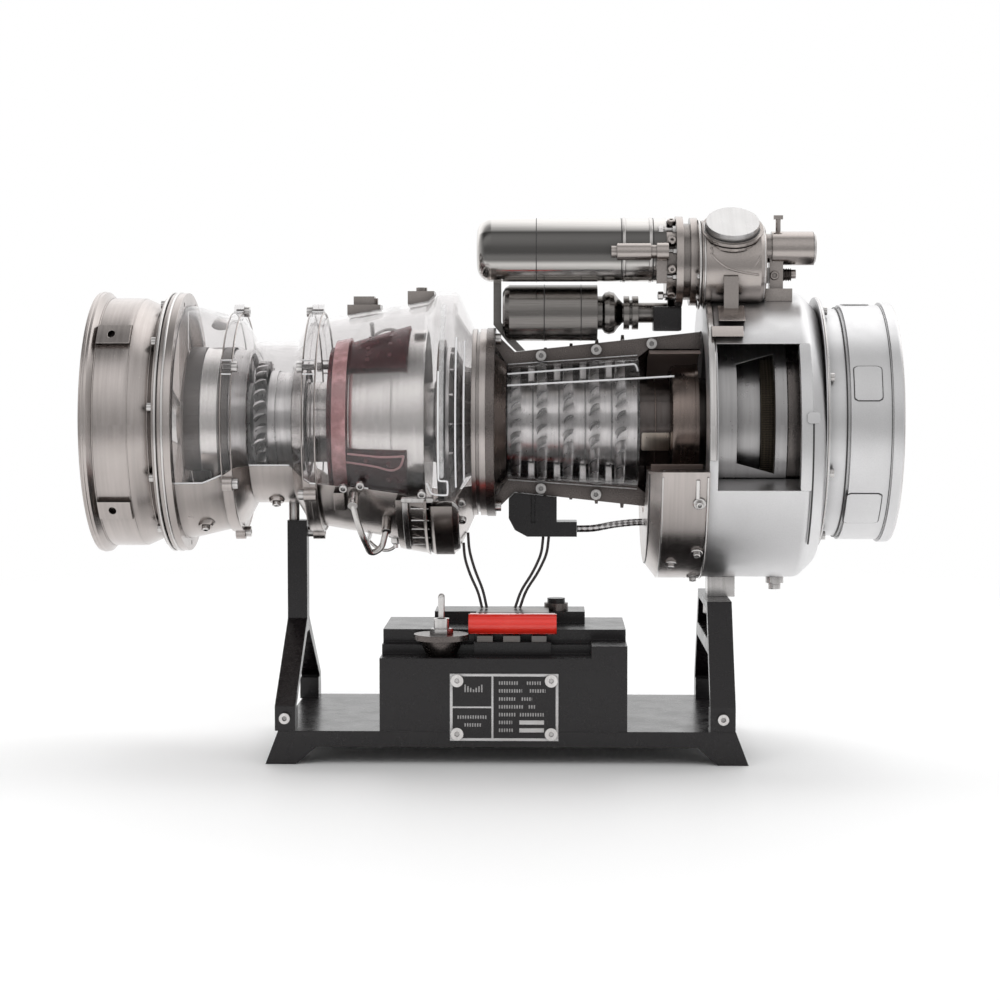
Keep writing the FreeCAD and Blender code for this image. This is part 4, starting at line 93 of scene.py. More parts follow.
class Value:
    """A shader socket on which arithmetic can be written in Python."""

    def __init__(self, tree: bpy.types.NodeTree, socket: bpy.types.NodeSocket) -> None:
        """Wraps an output socket of a node tree."""
        self.tree = tree
        self.socket = socket

    def _math(self, operation: str, *terms: Number) -> Value:
        """Adds a Math node.

        Args:
            operation: The node's operation.
            terms: Its inputs in order, as values or plain numbers.

        Returns:
            The node's result.
        """
        node = self.tree.nodes.new("ShaderNodeMath")
        node.operation = operation
        for place, term in zip(node.inputs, terms):
            if isinstance(term, Value):
                self.tree.links.new(term.socket, place)
            else:
                place.default_value = term
        return Value(self.tree, node.outputs[0])

    def __add__(self, other: Number) -> Value:
        """This value plus another."""
        return self._math("ADD", self, other)

    __radd__ = __add__

    def __sub__(self, other: Number) -> Value:
        """This value less another."""
        return self._math("SUBTRACT", self, other)

    def __rsub__(self, other: Number) -> Value:
        """Another value less this one."""
        return self._math("SUBTRACT", other, self)

    def __mul__(self, other: Number) -> Value:
        """This value times another."""
        return self._math("MULTIPLY", self, other)

    def __truediv__(self, other: Number) -> Value:
        """This value divided by another."""
        return self._math("DIVIDE", self, other)

    def __pow__(self, other: Number) -> Value:
        """This value to a power."""
        return self._math("POWER", self, other)

    def __abs__(self) -> Value:
        """This value without its sign."""
        return self._math("ABSOLUTE", self)

    def least(self, other: Number) -> Value:
        """The smaller of this value and another."""
        return self._math("MINIMUM", self, other)

    def most(self, other: Number) -> Value:
        """The larger of this value and another."""
        return self._math("MAXIMUM", self, other)

    def sine(self) -> Value:
        """The sine of this value."""
        return self._math("SINE", self)

    def root(self) -> Value:
        """The square root of this value."""
        return self._math("SQRT", self)

    def turn_from(self, other: Number) -> Value:
        """The angle of this value over another."""
        return self._math("ARCTAN2", self, other)

    def within(self, low: float, high: float) -> Value:
        """A smooth step of this value.

        Args:
            low: Where the step starts, at nought.
            high: Where the step ends, at one.

        Returns:
            The step, held between nought and one.
        """
        node = self.tree.nodes.new("ShaderNodeMapRange")
        node.interpolation_type = "SMOOTHSTEP"
        node.inputs[1].default_value = low
        node.inputs[2].default_value = high
        self.tree.links.new(self.socket, node.inputs[0])
        return Value(self.tree, node.outputs[0])


Number = Union[Value, float]
Term = Union[Value, float, Sequence[float]]


class Paint:
    """A node tree under construction."""

    def __init__(self, tree: bpy.types.NodeTree) -> None:
        """Starts on a tree, emptied first."""
        self.tree = tree
        tree.nodes.clear()

    def node(
        self, kind: str, settings: Mapping[str, object], sockets: Mapping[Union[str, int], Term]
    ) -> bpy.types.Node:
        """Adds a node.

        Args:
            kind: The node's type.
            settings: Its own settings, which are made first. Stops fill a ramp.
            sockets: Values or links of its sockets.

        Returns:
            The node.
        """
        node = self.tree.nodes.new(kind)
        for name, setting in settings.items():
            if name == "stops":
                self._fill_ramp(node.color_ramp, setting)
            else:
                setattr(node, name, setting)
        for name, term in sockets.items():
            place = node.inputs[name]
            if isinstance(term, Value):
                self.tree.links.new(term.socket, place)
            elif place.type == "RGBA" and not isinstance(term, float):
                place.default_value = (*term[:3], 1.0)
            else:
                place.default_value = term
        return node

    @staticmethod
    def _fill_ramp(ramp: bpy.types.ColorRamp, stops: Sequence[tuple[float, Colour]]) -> None:
        """Gives a ramp its stops.

        Args:
            ramp: The ramp.
            stops: Places from nought to one with their colours.
        """
        while len(ramp.elements) < len(stops):
            ramp.elements.new(0.5)
        for element, (place, colour) in zip(ramp.elements, stops):
            element.position = place
            element.color = (*colour, 1.0)

    def take(self, node: bpy.types.Node, output: Union[str, int] = 0) -> Value:
        """One output of a node, as a value."""
        return Value(self.tree, node.outputs[output])

    def place(self) -> Value:
        """The point on the surface, in the object's own axes, in metres."""
        return self.take(self.node("ShaderNodeTexCoord", {}, {}), "Object")

    def parts_of(self, vector: Value) -> tuple[Value, Value, Value]:
        """The three numbers of a vector."""
        node = self.node("ShaderNodeSeparateXYZ", {}, {0: vector})
        return self.take(node, 0), self.take(node, 1), self.take(node, 2)

    def vector(self, x: Number, y: Number, z: Number) -> Value:
        """A vector of three numbers."""
        return self.take(self.node("ShaderNodeCombineXYZ", {}, {0: x, 1: y, 2: z}))

    def cloud(self, vector: Value, scale: float, detail: float = 2.0, rough: float = 0.5) -> Value:
        """A noise pattern.

        Args:
            vector: The place to read it at.
            scale: How many patches there are to a unit.
            detail: How many finer layers it has.
            rough: How strong they are.

        Returns:
            The pattern, mostly between 0.3 and 0.7.
        """
        sockets = {"Vector": vector, "Scale": scale, "Detail": detail, "Roughness": rough}
        return self.take(self.node("ShaderNodeTexNoise", {}, sockets))

    def mix(self, share: Number, first: Term, second: Term) -> Value:
        """A mix of two colours, with the share of the second."""
        sockets = {0: share, 6: first, 7: second}
        return self.take(self.node("ShaderNodeMix", {"data_type": "RGBA"}, sockets), 2)

    def bump(self, height: Value, depth: float, normal: Value | None = None) -> Value:
        """A relief on the surface.

        Args:
            height: The relief, from nought to one.
            depth: Its full height in metres.
            normal: The normal that it starts from, if not the surface's own.

        Returns:
            The new normal.
        """
        sockets: dict[Union[str, int], Term] = {
            "Height": height, "Strength": 1.0, "Distance": depth,
        }
        if normal is not None:
            sockets["Normal"] = normal
        return self.take(self.node("ShaderNodeBump", {}, sockets))

    def soft_edge(self, radius: float) -> Value:
        """A normal that rounds the edges of the solid by a radius in metres."""
        return self.take(self.node("ShaderNodeBevel", {"samples": 3}, {"Radius": radius}))

    def edge_mask(self, rounded: Value) -> Value:
        """How far a rounded normal leaves the flat one: nought inside, more at edges.

        Args:
            rounded: The rounded normal.

        Returns:
            The mask.
        """
        flat = self.take(self.node("ShaderNodeNewGeometry", {}, {}), "Normal")
        settings = {"operation": "DOT_PRODUCT"}
        turned = self.node("ShaderNodeVectorMath", settings, {0: rounded, 1: flat})
        return 1.0 - self.take(turned, 1)

    def crevice(self, reach: float) -> Value:
        """How open the surface is: one in the open, less in corners with neighbours in reach."""
        settings = {"samples": 3}
        return self.take(self.node("ShaderNodeAmbientOcclusion", settings, {"Distance": reach}), 1)

    def around_axis(self, line: Line) -> tuple[Value, Value, Value]:
        """The surface point measured round a line along X.

        Args:
            line: The line's y and z in millimetres.

        Returns:
            The distance along the line, the angle round it and the distance from it.
        """
        x, y, z = self.parts_of(self.place())
        across, up = y - line[0] * MM, z - line[1] * MM
        return x, up.turn_from(across), (across * across + up * up).root()

    def principled(self, sockets: Mapping[str, Term]) -> Value:
        """A physical surface shader."""
        return self.take(self.node("ShaderNodeBsdfPrincipled", {}, sockets))

    def blend(self, share: Number, first: Value, second: Value) -> Value:
        """A mix of two shaders, with the share of the second."""
        return self.take(self.node("ShaderNodeMixShader", {}, {0: share, 1: first, 2: second}))

    def surface(self, shader: Value, kind: str = "ShaderNodeOutputMaterial") -> None:
        """Joins a shader to the tree's output."""
        self.tree.links.new(shader.socket, self.node(kind, {}, {}).inputs["Surface"])


# Finishes


@dataclass(frozen=True)
class Finish:
    """A surface finish of the model.

    Attributes:
        name: The finish's name.
        slot: The material slot of the record that it belongs to. Not used by this script.
    """

    name: str
    slot: str

    def material(self) -> bpy.types.Material:
        """The finish's material, made the first time it is asked for.

        Returns:
            The material.
        """
        name = self.name + "_finish"
        found = bpy.data.materials.get(name)
        if found is None:
            found = bpy.data.materials.new(name)
            found.use_nodes = True
            self.fill(Paint(found.node_tree))
        return found

    def fill(self, paint: Paint) -> None:
        """Builds the finish's nodes. Each kind of finish has its own."""
        raise NotImplementedError


@dataclass(frozen=True)
class Metal(Finish):
    """A bare, brushed, cast or plated metal.

    Attributes:
        light: Its colour where it is clean.
        dark: Its colour in the lines of its grain.
        rough: How rough it is.
        grain: How its fine lines lie.
        fineness: Lines to a metre.
        depth: Depth of the lines in metres.
        stain: The colour of its stains.
        stained: How much of them shows.
        painted_corner_shade: How dark its corners and crevices are painted, as painted shade.
        line: The line that it was turned round.
        painted_dark_reflection: Share of a painted dark reflection band on it, with the angles where
            it starts and ends.
        painted_dark_reflection_fades: Radians that the painted reflection fades over before and after
            its start, and before and after its end.
        painted_dark_reflection_tone: What the dark colour is multiplied by in the painted reflection.
        rounding: Radius that its edges seem to have, in metres.
    """

    light: Colour
    dark: Colour
    rough: float
    grain: Grain = Grain.TURNED
    fineness: float = 900.0
    depth: float = 0.000008
    stain: Colour = (0.3, 0.24, 0.2)
    stained: float = 0.25
    painted_corner_shade: float = 0.55
    line: Line = ENGINE
    painted_dark_reflection: tuple[float, float, float] | None = None
    painted_dark_reflection_fades: tuple[float, float, float, float] = (0.1, 0.08, 0.05, 0.06)
    painted_dark_reflection_tone: float = 0.12
    rounding: float = 0.0003

    def _with_painted_dark_reflection(self, paint: Paint, colour: Value) -> Value:
        """Paints a dark reflection band over a colour, on faces that were turned and not on end faces.

        Args:
            paint: The tree under construction.
            colour: The colour under the painted reflection.

        Returns:
            The colour with the painted reflection.
        """
        # Painted reflection: a band of angles round the line is darkened, standing for the dark
        # reflection these turned faces show there.
        if self.painted_dark_reflection is None:
            return colour
        share, start, end = self.painted_dark_reflection
        _, y, z = paint.parts_of(paint.place())
        angle = (z - self.line[1] * MM).turn_from(self.line[0] * MM - y)
        low, high = math.radians(start), math.radians(end)
        before, after, leaving, gone = self.painted_dark_reflection_fades
        begun = angle.within(low - before, low + after)
        cover = begun - angle.within(high - leaving, high + gone)
        facing = paint.take(paint.node("ShaderNodeTexCoord", {}, {}), "Normal")
        along, _, _ = paint.parts_of(facing)
        cover = cover * (1.0 - (along * along).within(0.2, 0.8))
        return paint.mix(cover * share, colour, tuple(c * self.painted_dark_reflection_tone for c in self.dark))

    def _lines(self, paint: Paint) -> Value:
        """The grain's own pattern.

        Args:
            paint: The tree under construction.

        Returns:
            The pattern, mostly between 0.3 and 0.7.
        """
        fine = self.fineness
        if self.grain is Grain.TURNED:
            along, angle, radius = paint.around_axis(self.line)
            return paint.cloud(paint.vector(along * fine, angle * 1.2, radius * 60.0), 1.0)
        if self.grain is Grain.DRAWN:
            x, y, z = paint.parts_of(paint.place())
            return paint.cloud(paint.vector(x * (fine * 0.02), y * fine, z * fine), 1.0, 3.0, 0.65)
        return paint.cloud(paint.place(), fine, 4.0, 0.6)

    def fill(self, paint: Paint) -> None:
        """Builds the metal's nodes.

        Args:
            paint: The tree under construction.
        """
        lines = self._lines(paint)
        patches = paint.cloud(paint.place(), 42.0, 4.0, 0.6)
        wipes = paint.cloud(paint.place(), 210.0, 3.0, 0.6)
        rounded = paint.soft_edge(self.rounding)
        worn = paint.edge_mask(rounded).within(0.01, 0.25)
        colour = paint.mix(lines.within(0.25, 0.75), self.dark, self.light)
        colour = paint.mix(patches.within(0.45, 0.75) * self.stained, colour, self.stain)
        # Painted shade: an occlusion mask darkens corners and crevices towards a shaded dark colour.
        shaded = tuple(c * (1.0 - self.painted_corner_shade) for c in self.dark)
        colour = paint.mix(paint.crevice(0.004).within(0.25, 0.95), shaded, colour)
        bright = tuple(min(1.0, c * 1.15) for c in self.light)
        rough = (
            self.rough
            + (lines - 0.5) * (self.rough * 0.3)
            + (wipes - 0.5) * (self.rough * 0.5)
            - worn * (self.rough * 0.4)
        )
        paint.surface(paint.principled({
            "Base Color": self._with_painted_dark_reflection(paint, paint.mix(worn * 0.6, colour, bright)),
            "Roughness": rough.most(0.04),
            "Metallic": 1.0,
            "Normal": paint.bump(lines, self.depth, rounded),
        }))


@dataclass(frozen=True)
class Moulding(Finish):
    """A moulded or lacquered plastic.

    Attributes:
        colour: Its colour.
        faded: Its colour where it is rubbed.
        rough: How rough it is.
        coat: How much clear lacquer lies on it.
        texture: Depth of its moulded texture in metres.
        fineness: Grains of that texture to a metre.
        rounding: Radius that its edges seem to have, in metres.
    """

    colour: Colour
    faded: Colour
    rough: float
    coat: float = 0.0
    texture: float = 0.00001
    fineness: float = 3800.0
    rounding: float = 0.0005

    def fill(self, paint: Paint) -> None:
        """Builds the plastic's nodes.

        Args:
            paint: The tree under construction.
        """
        place = paint.place()
        grain = paint.cloud(place, self.fineness)
        wipes = paint.cloud(place, 130.0, 4.0, 0.62)
        rounded = paint.soft_edge(self.rounding)
        worn = paint.edge_mask(rounded).within(0.01, 0.3)
        share = (wipes.within(0.45, 0.8) * 0.35 + worn * 0.5).least(1.0)
        rough = self.rough + (wipes - 0.5) * 0.22 + (grain - 0.5) * 0.1
        paint.surface(paint.principled({
            "Base Color": paint.mix(share, self.colour, self.faded),
            "Roughness": rough.most(0.05),
            "Metallic": 0.0,
            "Coat Weight": self.coat,
            "Coat Roughness": 0.06,
            "Normal": paint.bump(grain, self.texture, rounded),
        }))


@dataclass(frozen=True)
class Clear(Finish):
    """A clear moulded shell that shows what is inside it.

    Attributes:
        tint: The colour of what comes through.
        haze: How much of the surface is milky.
        body: The colour of the milky part.
        rough: How rough its shine is.
        shine: How strongly it mirrors.
        mirror: The colour of its shine.
    """

    tint: Colour
    haze: float
    body: Colour
    rough: float = 0.03
    shine: float = 1.0
    mirror: Colour = (0.97, 0.965, 0.965)

    def fill(self, paint: Paint) -> None:
        """Builds the clear shell's nodes.

        Args:
            paint: The tree under construction.
        """
        place = paint.place()
        waves = paint.cloud(place, 60.0)
        wipes = paint.cloud(place, 170.0, 4.0, 0.6)
        normal = paint.bump(waves, 0.00009, paint.soft_edge(0.0004))
        sockets = {"Blend": 0.5, "Normal": normal}
        facing = paint.take(paint.node("ShaderNodeLayerWeight", {}, sockets), 1)
        glance = (facing ** 5.0) * 0.96 + 0.04
        through = paint.take(paint.node("ShaderNodeBsdfTransparent", {}, {"Color": self.tint}))
        shine = paint.principled({
            "Base Color": self.mirror,
            "Metallic": 1.0,
            "Roughness": (self.rough + (wipes - 0.5) * 0.04).most(0.01),
            "Normal": normal,
        })
        milk = paint.principled({"Base Color": self.body, "Roughness": 0.4, "Metallic": 0.0})
        edge = glance.within(0.1, 0.9) * 0.04
        milky = (wipes.within(0.4, 0.75) * 0.5 + 0.5) * self.haze + edge
        paint.surface(paint.blend(glance * self.shine, paint.blend(milky, through, milk), shine))


@dataclass(frozen=True)
class Braid(Finish):
    """A plaited metal sleeve.

    Attributes:
        light: The colour of the strands.
        dark: The colour between them.
        pitch: Strands to a metre.
    """

    light: Colour
    dark: Colour
    pitch: float = 1500.0

    def fill(self, paint: Paint) -> None:
        """Builds the sleeve's nodes.

        Args:
            paint: The tree under construction.
        """
        x, y, z = paint.parts_of(paint.place())
        first = ((x + y + z) * self.pitch).sine()
        second = ((x - y - z) * self.pitch).sine()
        plait = (first * second) * 0.5 + 0.5
        wipes = paint.cloud(paint.place(), 300.0, 3.0)
        paint.surface(paint.principled({
            "Base Color": paint.mix(plait.within(0.2, 0.8), self.dark, self.light),
            "Roughness": 0.3 + (wipes - 0.5) * 0.3,
            "Metallic": 1.0,
            "Normal": paint.bump(plait, 0.0002),
        }))


@dataclass(frozen=True)
class Board(Finish):
    """A circuit board with its tracks.

    Attributes:
        lacquer: The colour of the board's lacquer.
        track: The colour of the copper under it.
    """

    lacquer: Colour
    track: Colour

    def fill(self, paint: Paint) -> None:
        """Builds the board's nodes.

        Args:
            paint: The tree under construction.
        """
        place = paint.place()
        cells = paint.node(
            "ShaderNodeTexVoronoi", {"distance": "MANHATTAN", "feature": "DISTANCE_TO_EDGE"},
            {"Vector": place, "Scale": 260.0},
        )
        tracks = 1.0 - paint.take(cells, "Distance").within(0.05, 0.12)
        wipes = paint.cloud(place, 300.0, 3.0)
        paint.surface(paint.principled({
            "Base Color": paint.mix(tracks * 0.6, self.lacquer, self.track),
            "Roughness": 0.35 + (wipes - 0.5) * 0.2,
            "Coat Weight": 0.5,
            "Coat Roughness": 0.15,
            "Normal": paint.bump(tracks, 0.00005),
        }))


WARM_STEEL = Metal(
    "warm_steel", "warm_steel", light=(0.535, 0.49, 0.47), dark=(0.47, 0.43, 0.412),
    rough=0.24, stain=(0.4, 0.355, 0.33), stained=0.3,
)
BRIGHT_STEEL = Metal(
    "bright_steel", "bright_steel", light=(0.76, 0.74, 0.73), dark=(0.62, 0.6, 0.59),
    rough=0.2, stained=0.12, painted_corner_shade=0.7,
)
CAST_SILVER = Metal(
    "cast_silver", "cast_silver", light=(0.73, 0.725, 0.73), dark=(0.67, 0.665, 0.67),
    rough=0.36, grain=Grain.CAST, fineness=FINE, depth=0.000004, stain=(0.6, 0.59, 0.59),
    painted_corner_shade=0.5,
)
POLISHED_NICKEL = Metal(
    "polished_nickel", "polished_nickel", light=(0.62, 0.6, 0.585), dark=(0.56, 0.54, 0.525),
    rough=0.13, grain=Grain.DRAWN, fineness=FINE, depth=0.000002, stain=(0.5, 0.46, 0.44),
    stained=0.12,
)
# Painted reflection: a dark band is painted on the starter's front, standing for the dark reflection
# it shows there.
STARTER_NICKEL = replace(
    POLISHED_NICKEL, name="starter_nickel", light=(0.66, 0.64, 0.62), dark=(0.6, 0.58, 0.56),
    rough=0.12, line=STARTER, painted_dark_reflection=(0.88, -25.0, 33.0),
)
TANK_NICKEL = replace(
    POLISHED_NICKEL, name="tank_nickel", light=(0.25, 0.235, 0.225), dark=(0.19, 0.18, 0.17),
    rough=0.17, stain=(0.2, 0.18, 0.17), stained=0.2,
)
CAP_NICKEL = Metal(
    "cap_nickel", "satin_nickel", light=(0.6, 0.59, 0.585), dark=(0.54, 0.53, 0.525),
    rough=0.3, depth=0.000002, stain=(0.5, 0.5, 0.5), stained=0.15,
)
SATIN_NICKEL = Metal(
    "satin_nickel", "satin_nickel", light=(0.5, 0.455, 0.43), dark=(0.42, 0.38, 0.36),
    rough=0.2, grain=Grain.CAST, fineness=FINE, depth=0.000004, stain=(0.32, 0.28, 0.26),
    stained=0.3, painted_corner_shade=0.8,
)
# Painted reflection: a dark band is painted on the rotor's side that faces the camera, standing for a
# dark reflection.
ROTOR_CHROME = Metal(
    "rotor_chrome", "rotor_chrome", light=(0.93, 0.92, 0.92), dark=(0.74, 0.73, 0.73),
    rough=0.3, depth=0.000004, stained=0.05, painted_corner_shade=0.75, painted_dark_reflection=(0.4, -6.0, 14.0),
)
GUNMETAL = Metal(
    "gunmetal", "gunmetal", light=(0.2, 0.175, 0.165), dark=(0.13, 0.115, 0.11), rough=0.28,
    grain=Grain.CAST, fineness=FINE, depth=0.000004, stain=(0.14, 0.115, 0.105), stained=0.4,
)
DARK_BRONZE = Metal(
    "dark_bronze", "dark_bronze", light=(0.2, 0.165, 0.15), dark=(0.11, 0.09, 0.085),
    rough=0.3, stain=(0.12, 0.1, 0.09), stained=0.3,
)
HUB_BRONZE = replace(
    DARK_BRONZE, name="hub_bronze", light=(0.13, 0.115, 0.11), dark=(0.1, 0.085, 0.08),
    rough=0.24, depth=0.000002, stain=(0.07, 0.055, 0.05),
)
COLLAR_BRONZE = replace(
    HUB_BRONZE, name="collar_bronze", light=(0.24, 0.195, 0.175), dark=(0.19, 0.155, 0.14),
    rough=0.26, stain=(0.12, 0.09, 0.08),
)
# Painted shade: darker copies of the metal for the liners of the air passage, standing for the shade
# inside it.
SHADED_PASSAGE_BROWN = Metal(
    "shaded_passage_brown", "dark_bronze", light=(0.2, 0.18, 0.17), dark=(0.15, 0.135, 0.13),
    rough=0.28, depth=0.000003, stain=(0.1, 0.085, 0.08), stained=0.3, painted_corner_shade=0.8,
)
SHADED_PASSAGE_GREY = replace(
    SHADED_PASSAGE_BROWN, name="shaded_passage_grey", slot="cast_silver", light=(0.44, 0.43, 0.43),
    dark=(0.38, 0.37, 0.37), rough=0.3, stain=(0.3, 0.29, 0.29),
)
# Painted highlight: a beige strip standing for the highlight on the lower near side of the inlet hub.
HUB_HIGHLIGHT_BEIGE = Metal(
    "hub_highlight_beige", "dark_bronze", light=(0.66, 0.59, 0.52), dark=(0.56, 0.5, 0.44),
    rough=0.3, depth=0.000002,
)
FLAME_SILVER = Metal(
    "flame_silver", "bright_steel", light=(0.9, 0.885, 0.87), dark=(0.82, 0.805, 0.79),
    rough=0.2, depth=0.000002, stained=0.08,
)
OLIVE = Metal(
    "olive", "dark_bronze", light=(0.09, 0.075, 0.055), dark=(0.05, 0.042, 0.034),
    rough=0.38, stain=(0.04, 0.034, 0.03), stained=0.3,
)
MOTOR_STEEL = Metal(
    "motor_steel", "motor_steel", light=(0.5, 0.485, 0.475), dark=(0.38, 0.365, 0.355),
    rough=0.28,
)
PLATE_SILVER = Metal(
    "plate_silver", "plate_silver", light=(0.72, 0.71, 0.71), dark=(0.6, 0.59, 0.59),
    rough=0.34, grain=Grain.DRAWN, fineness=FINE,
)
STRIP_STEEL = replace(
    PLATE_SILVER, name="strip_steel", light=(0.2, 0.19, 0.185), dark=(0.15, 0.14, 0.135),
    rough=0.35,
)
PRINT_GREY = replace(
    PLATE_SILVER, name="print_grey", light=(0.5, 0.49, 0.49), dark=(0.4, 0.39, 0.39),
    rough=0.45, grain=Grain.CAST,
)
CLEAR_SHELL = Clear(
    "clear_shell", "clear_shell", tint=(0.93, 0.923, 0.923), haze=0.012,
    body=(0.85, 0.84, 0.84), rough=0.02, shine=0.9,
)
LINER_RED = Clear(
    "liner_red", "liner_red", tint=(0.4, 0.13, 0.155), haze=0.5, body=(0.15, 0.022, 0.032),
    rough=0.2, shine=0.35,
)
LINER_BAND = Clear(
    "liner_band", "liner_red", tint=(0.86, 0.56, 0.58), haze=0.85, body=(0.86, 0.5, 0.51),
    rough=0.25, shine=0.8,
)
# Painted highlight: a pale band on the clear bulge's crown, standing for a bright reflection there.
PAINTED_CROWN_HIGHLIGHT = Clear(
    "painted_crown_highlight", "clear_shell", tint=(0.97, 0.97, 0.97), haze=0.4, body=(0.95, 0.95, 0.95),
    rough=0.1,
)
# Painted shade: dark discs stand for the shade inside the liner's air holes.
LINER_HOLE_SHADE = Moulding(
    "liner_hole_shade", "liner_red", colour=(0.08, 0.012, 0.016), faded=(0.16, 0.03, 0.035),
    rough=0.3,
)
# White lines: partly the milky cut edges of the clear shells, partly painted highlights on them.
FROST_AND_HIGHLIGHT = Moulding(
    "frost_and_highlight", "clear_shell", colour=(0.93, 0.93, 0.94), faded=(0.97, 0.97, 0.97), rough=0.25,
    coat=0.5, texture=0.000003,
)
LINER_PINK = Moulding(
    "liner_pink", "liner_red", colour=(0.5, 0.27, 0.28), faded=(0.62, 0.4, 0.4), rough=0.3,
)
# Painted shade: a brown sheet inside the inlet whose colour stands for the dim interior.
LINING_SHADE_BROWN = Moulding(
    "lining_shade_brown", "gunmetal", colour=(0.26, 0.2, 0.18), faded=(0.34, 0.27, 0.25),
    rough=0.42, texture=0.000004,
)
SEAM = Moulding(
    "seam", "black_satin", colour=(0.03, 0.028, 0.028), faded=(0.1, 0.095, 0.095),
    rough=0.35, texture=0.000004,
)
BLACK_SATIN = Moulding(
    "black_satin", "black_satin", colour=(0.0042, 0.0026, 0.0034),
    faded=(0.011, 0.0085, 0.0095), rough=0.27, coat=0.03,
)
GUARD_RED = Moulding(
    "guard_red", "guard_red", colour=(0.84, 0.026, 0.014), faded=(0.88, 0.07, 0.04),
    rough=0.2, coat=0.7, texture=0.000002,
)
WIRE_JACKET = Moulding(
    "wire_jacket", "wire_jacket", colour=(0.03, 0.022, 0.022), faded=(0.08, 0.06, 0.06),
    rough=0.35,
)
PACK_BLUE = Moulding(
    "pack_blue", "pack_blue", colour=(0.02, 0.09, 0.3), faded=(0.05, 0.15, 0.4), rough=0.3,
    coat=0.4,
)
BRAID_GREY = Braid("braid_grey", "braid_grey", (0.72, 0.7, 0.7), (0.18, 0.17, 0.17))
BOARD_GREEN = Board("board_green", "board_green", (0.01, 0.09, 0.035), (0.05, 0.25, 0.1))


# The studio


def hung(name: str, data: bpy.types.ID, place: Point, aim: Point) -> bpy.types.Object:
    """Puts a lamp or a camera in the scene.

    Args:
        name: The object's name.
        data: The lamp or camera.
        place: Where it is.
        aim: The point that it faces.

    Returns:
        The object.
    """
    thing = bpy.data.objects.new(name, data)
    thing.location = place
    thing.rotation_mode = "QUATERNION"
    thing.rotation_quaternion = (Vector(aim) - Vector(place)).to_track_quat("-Z", "Y")
    bpy.context.scene.collection.objects.link(thing)
    return thing


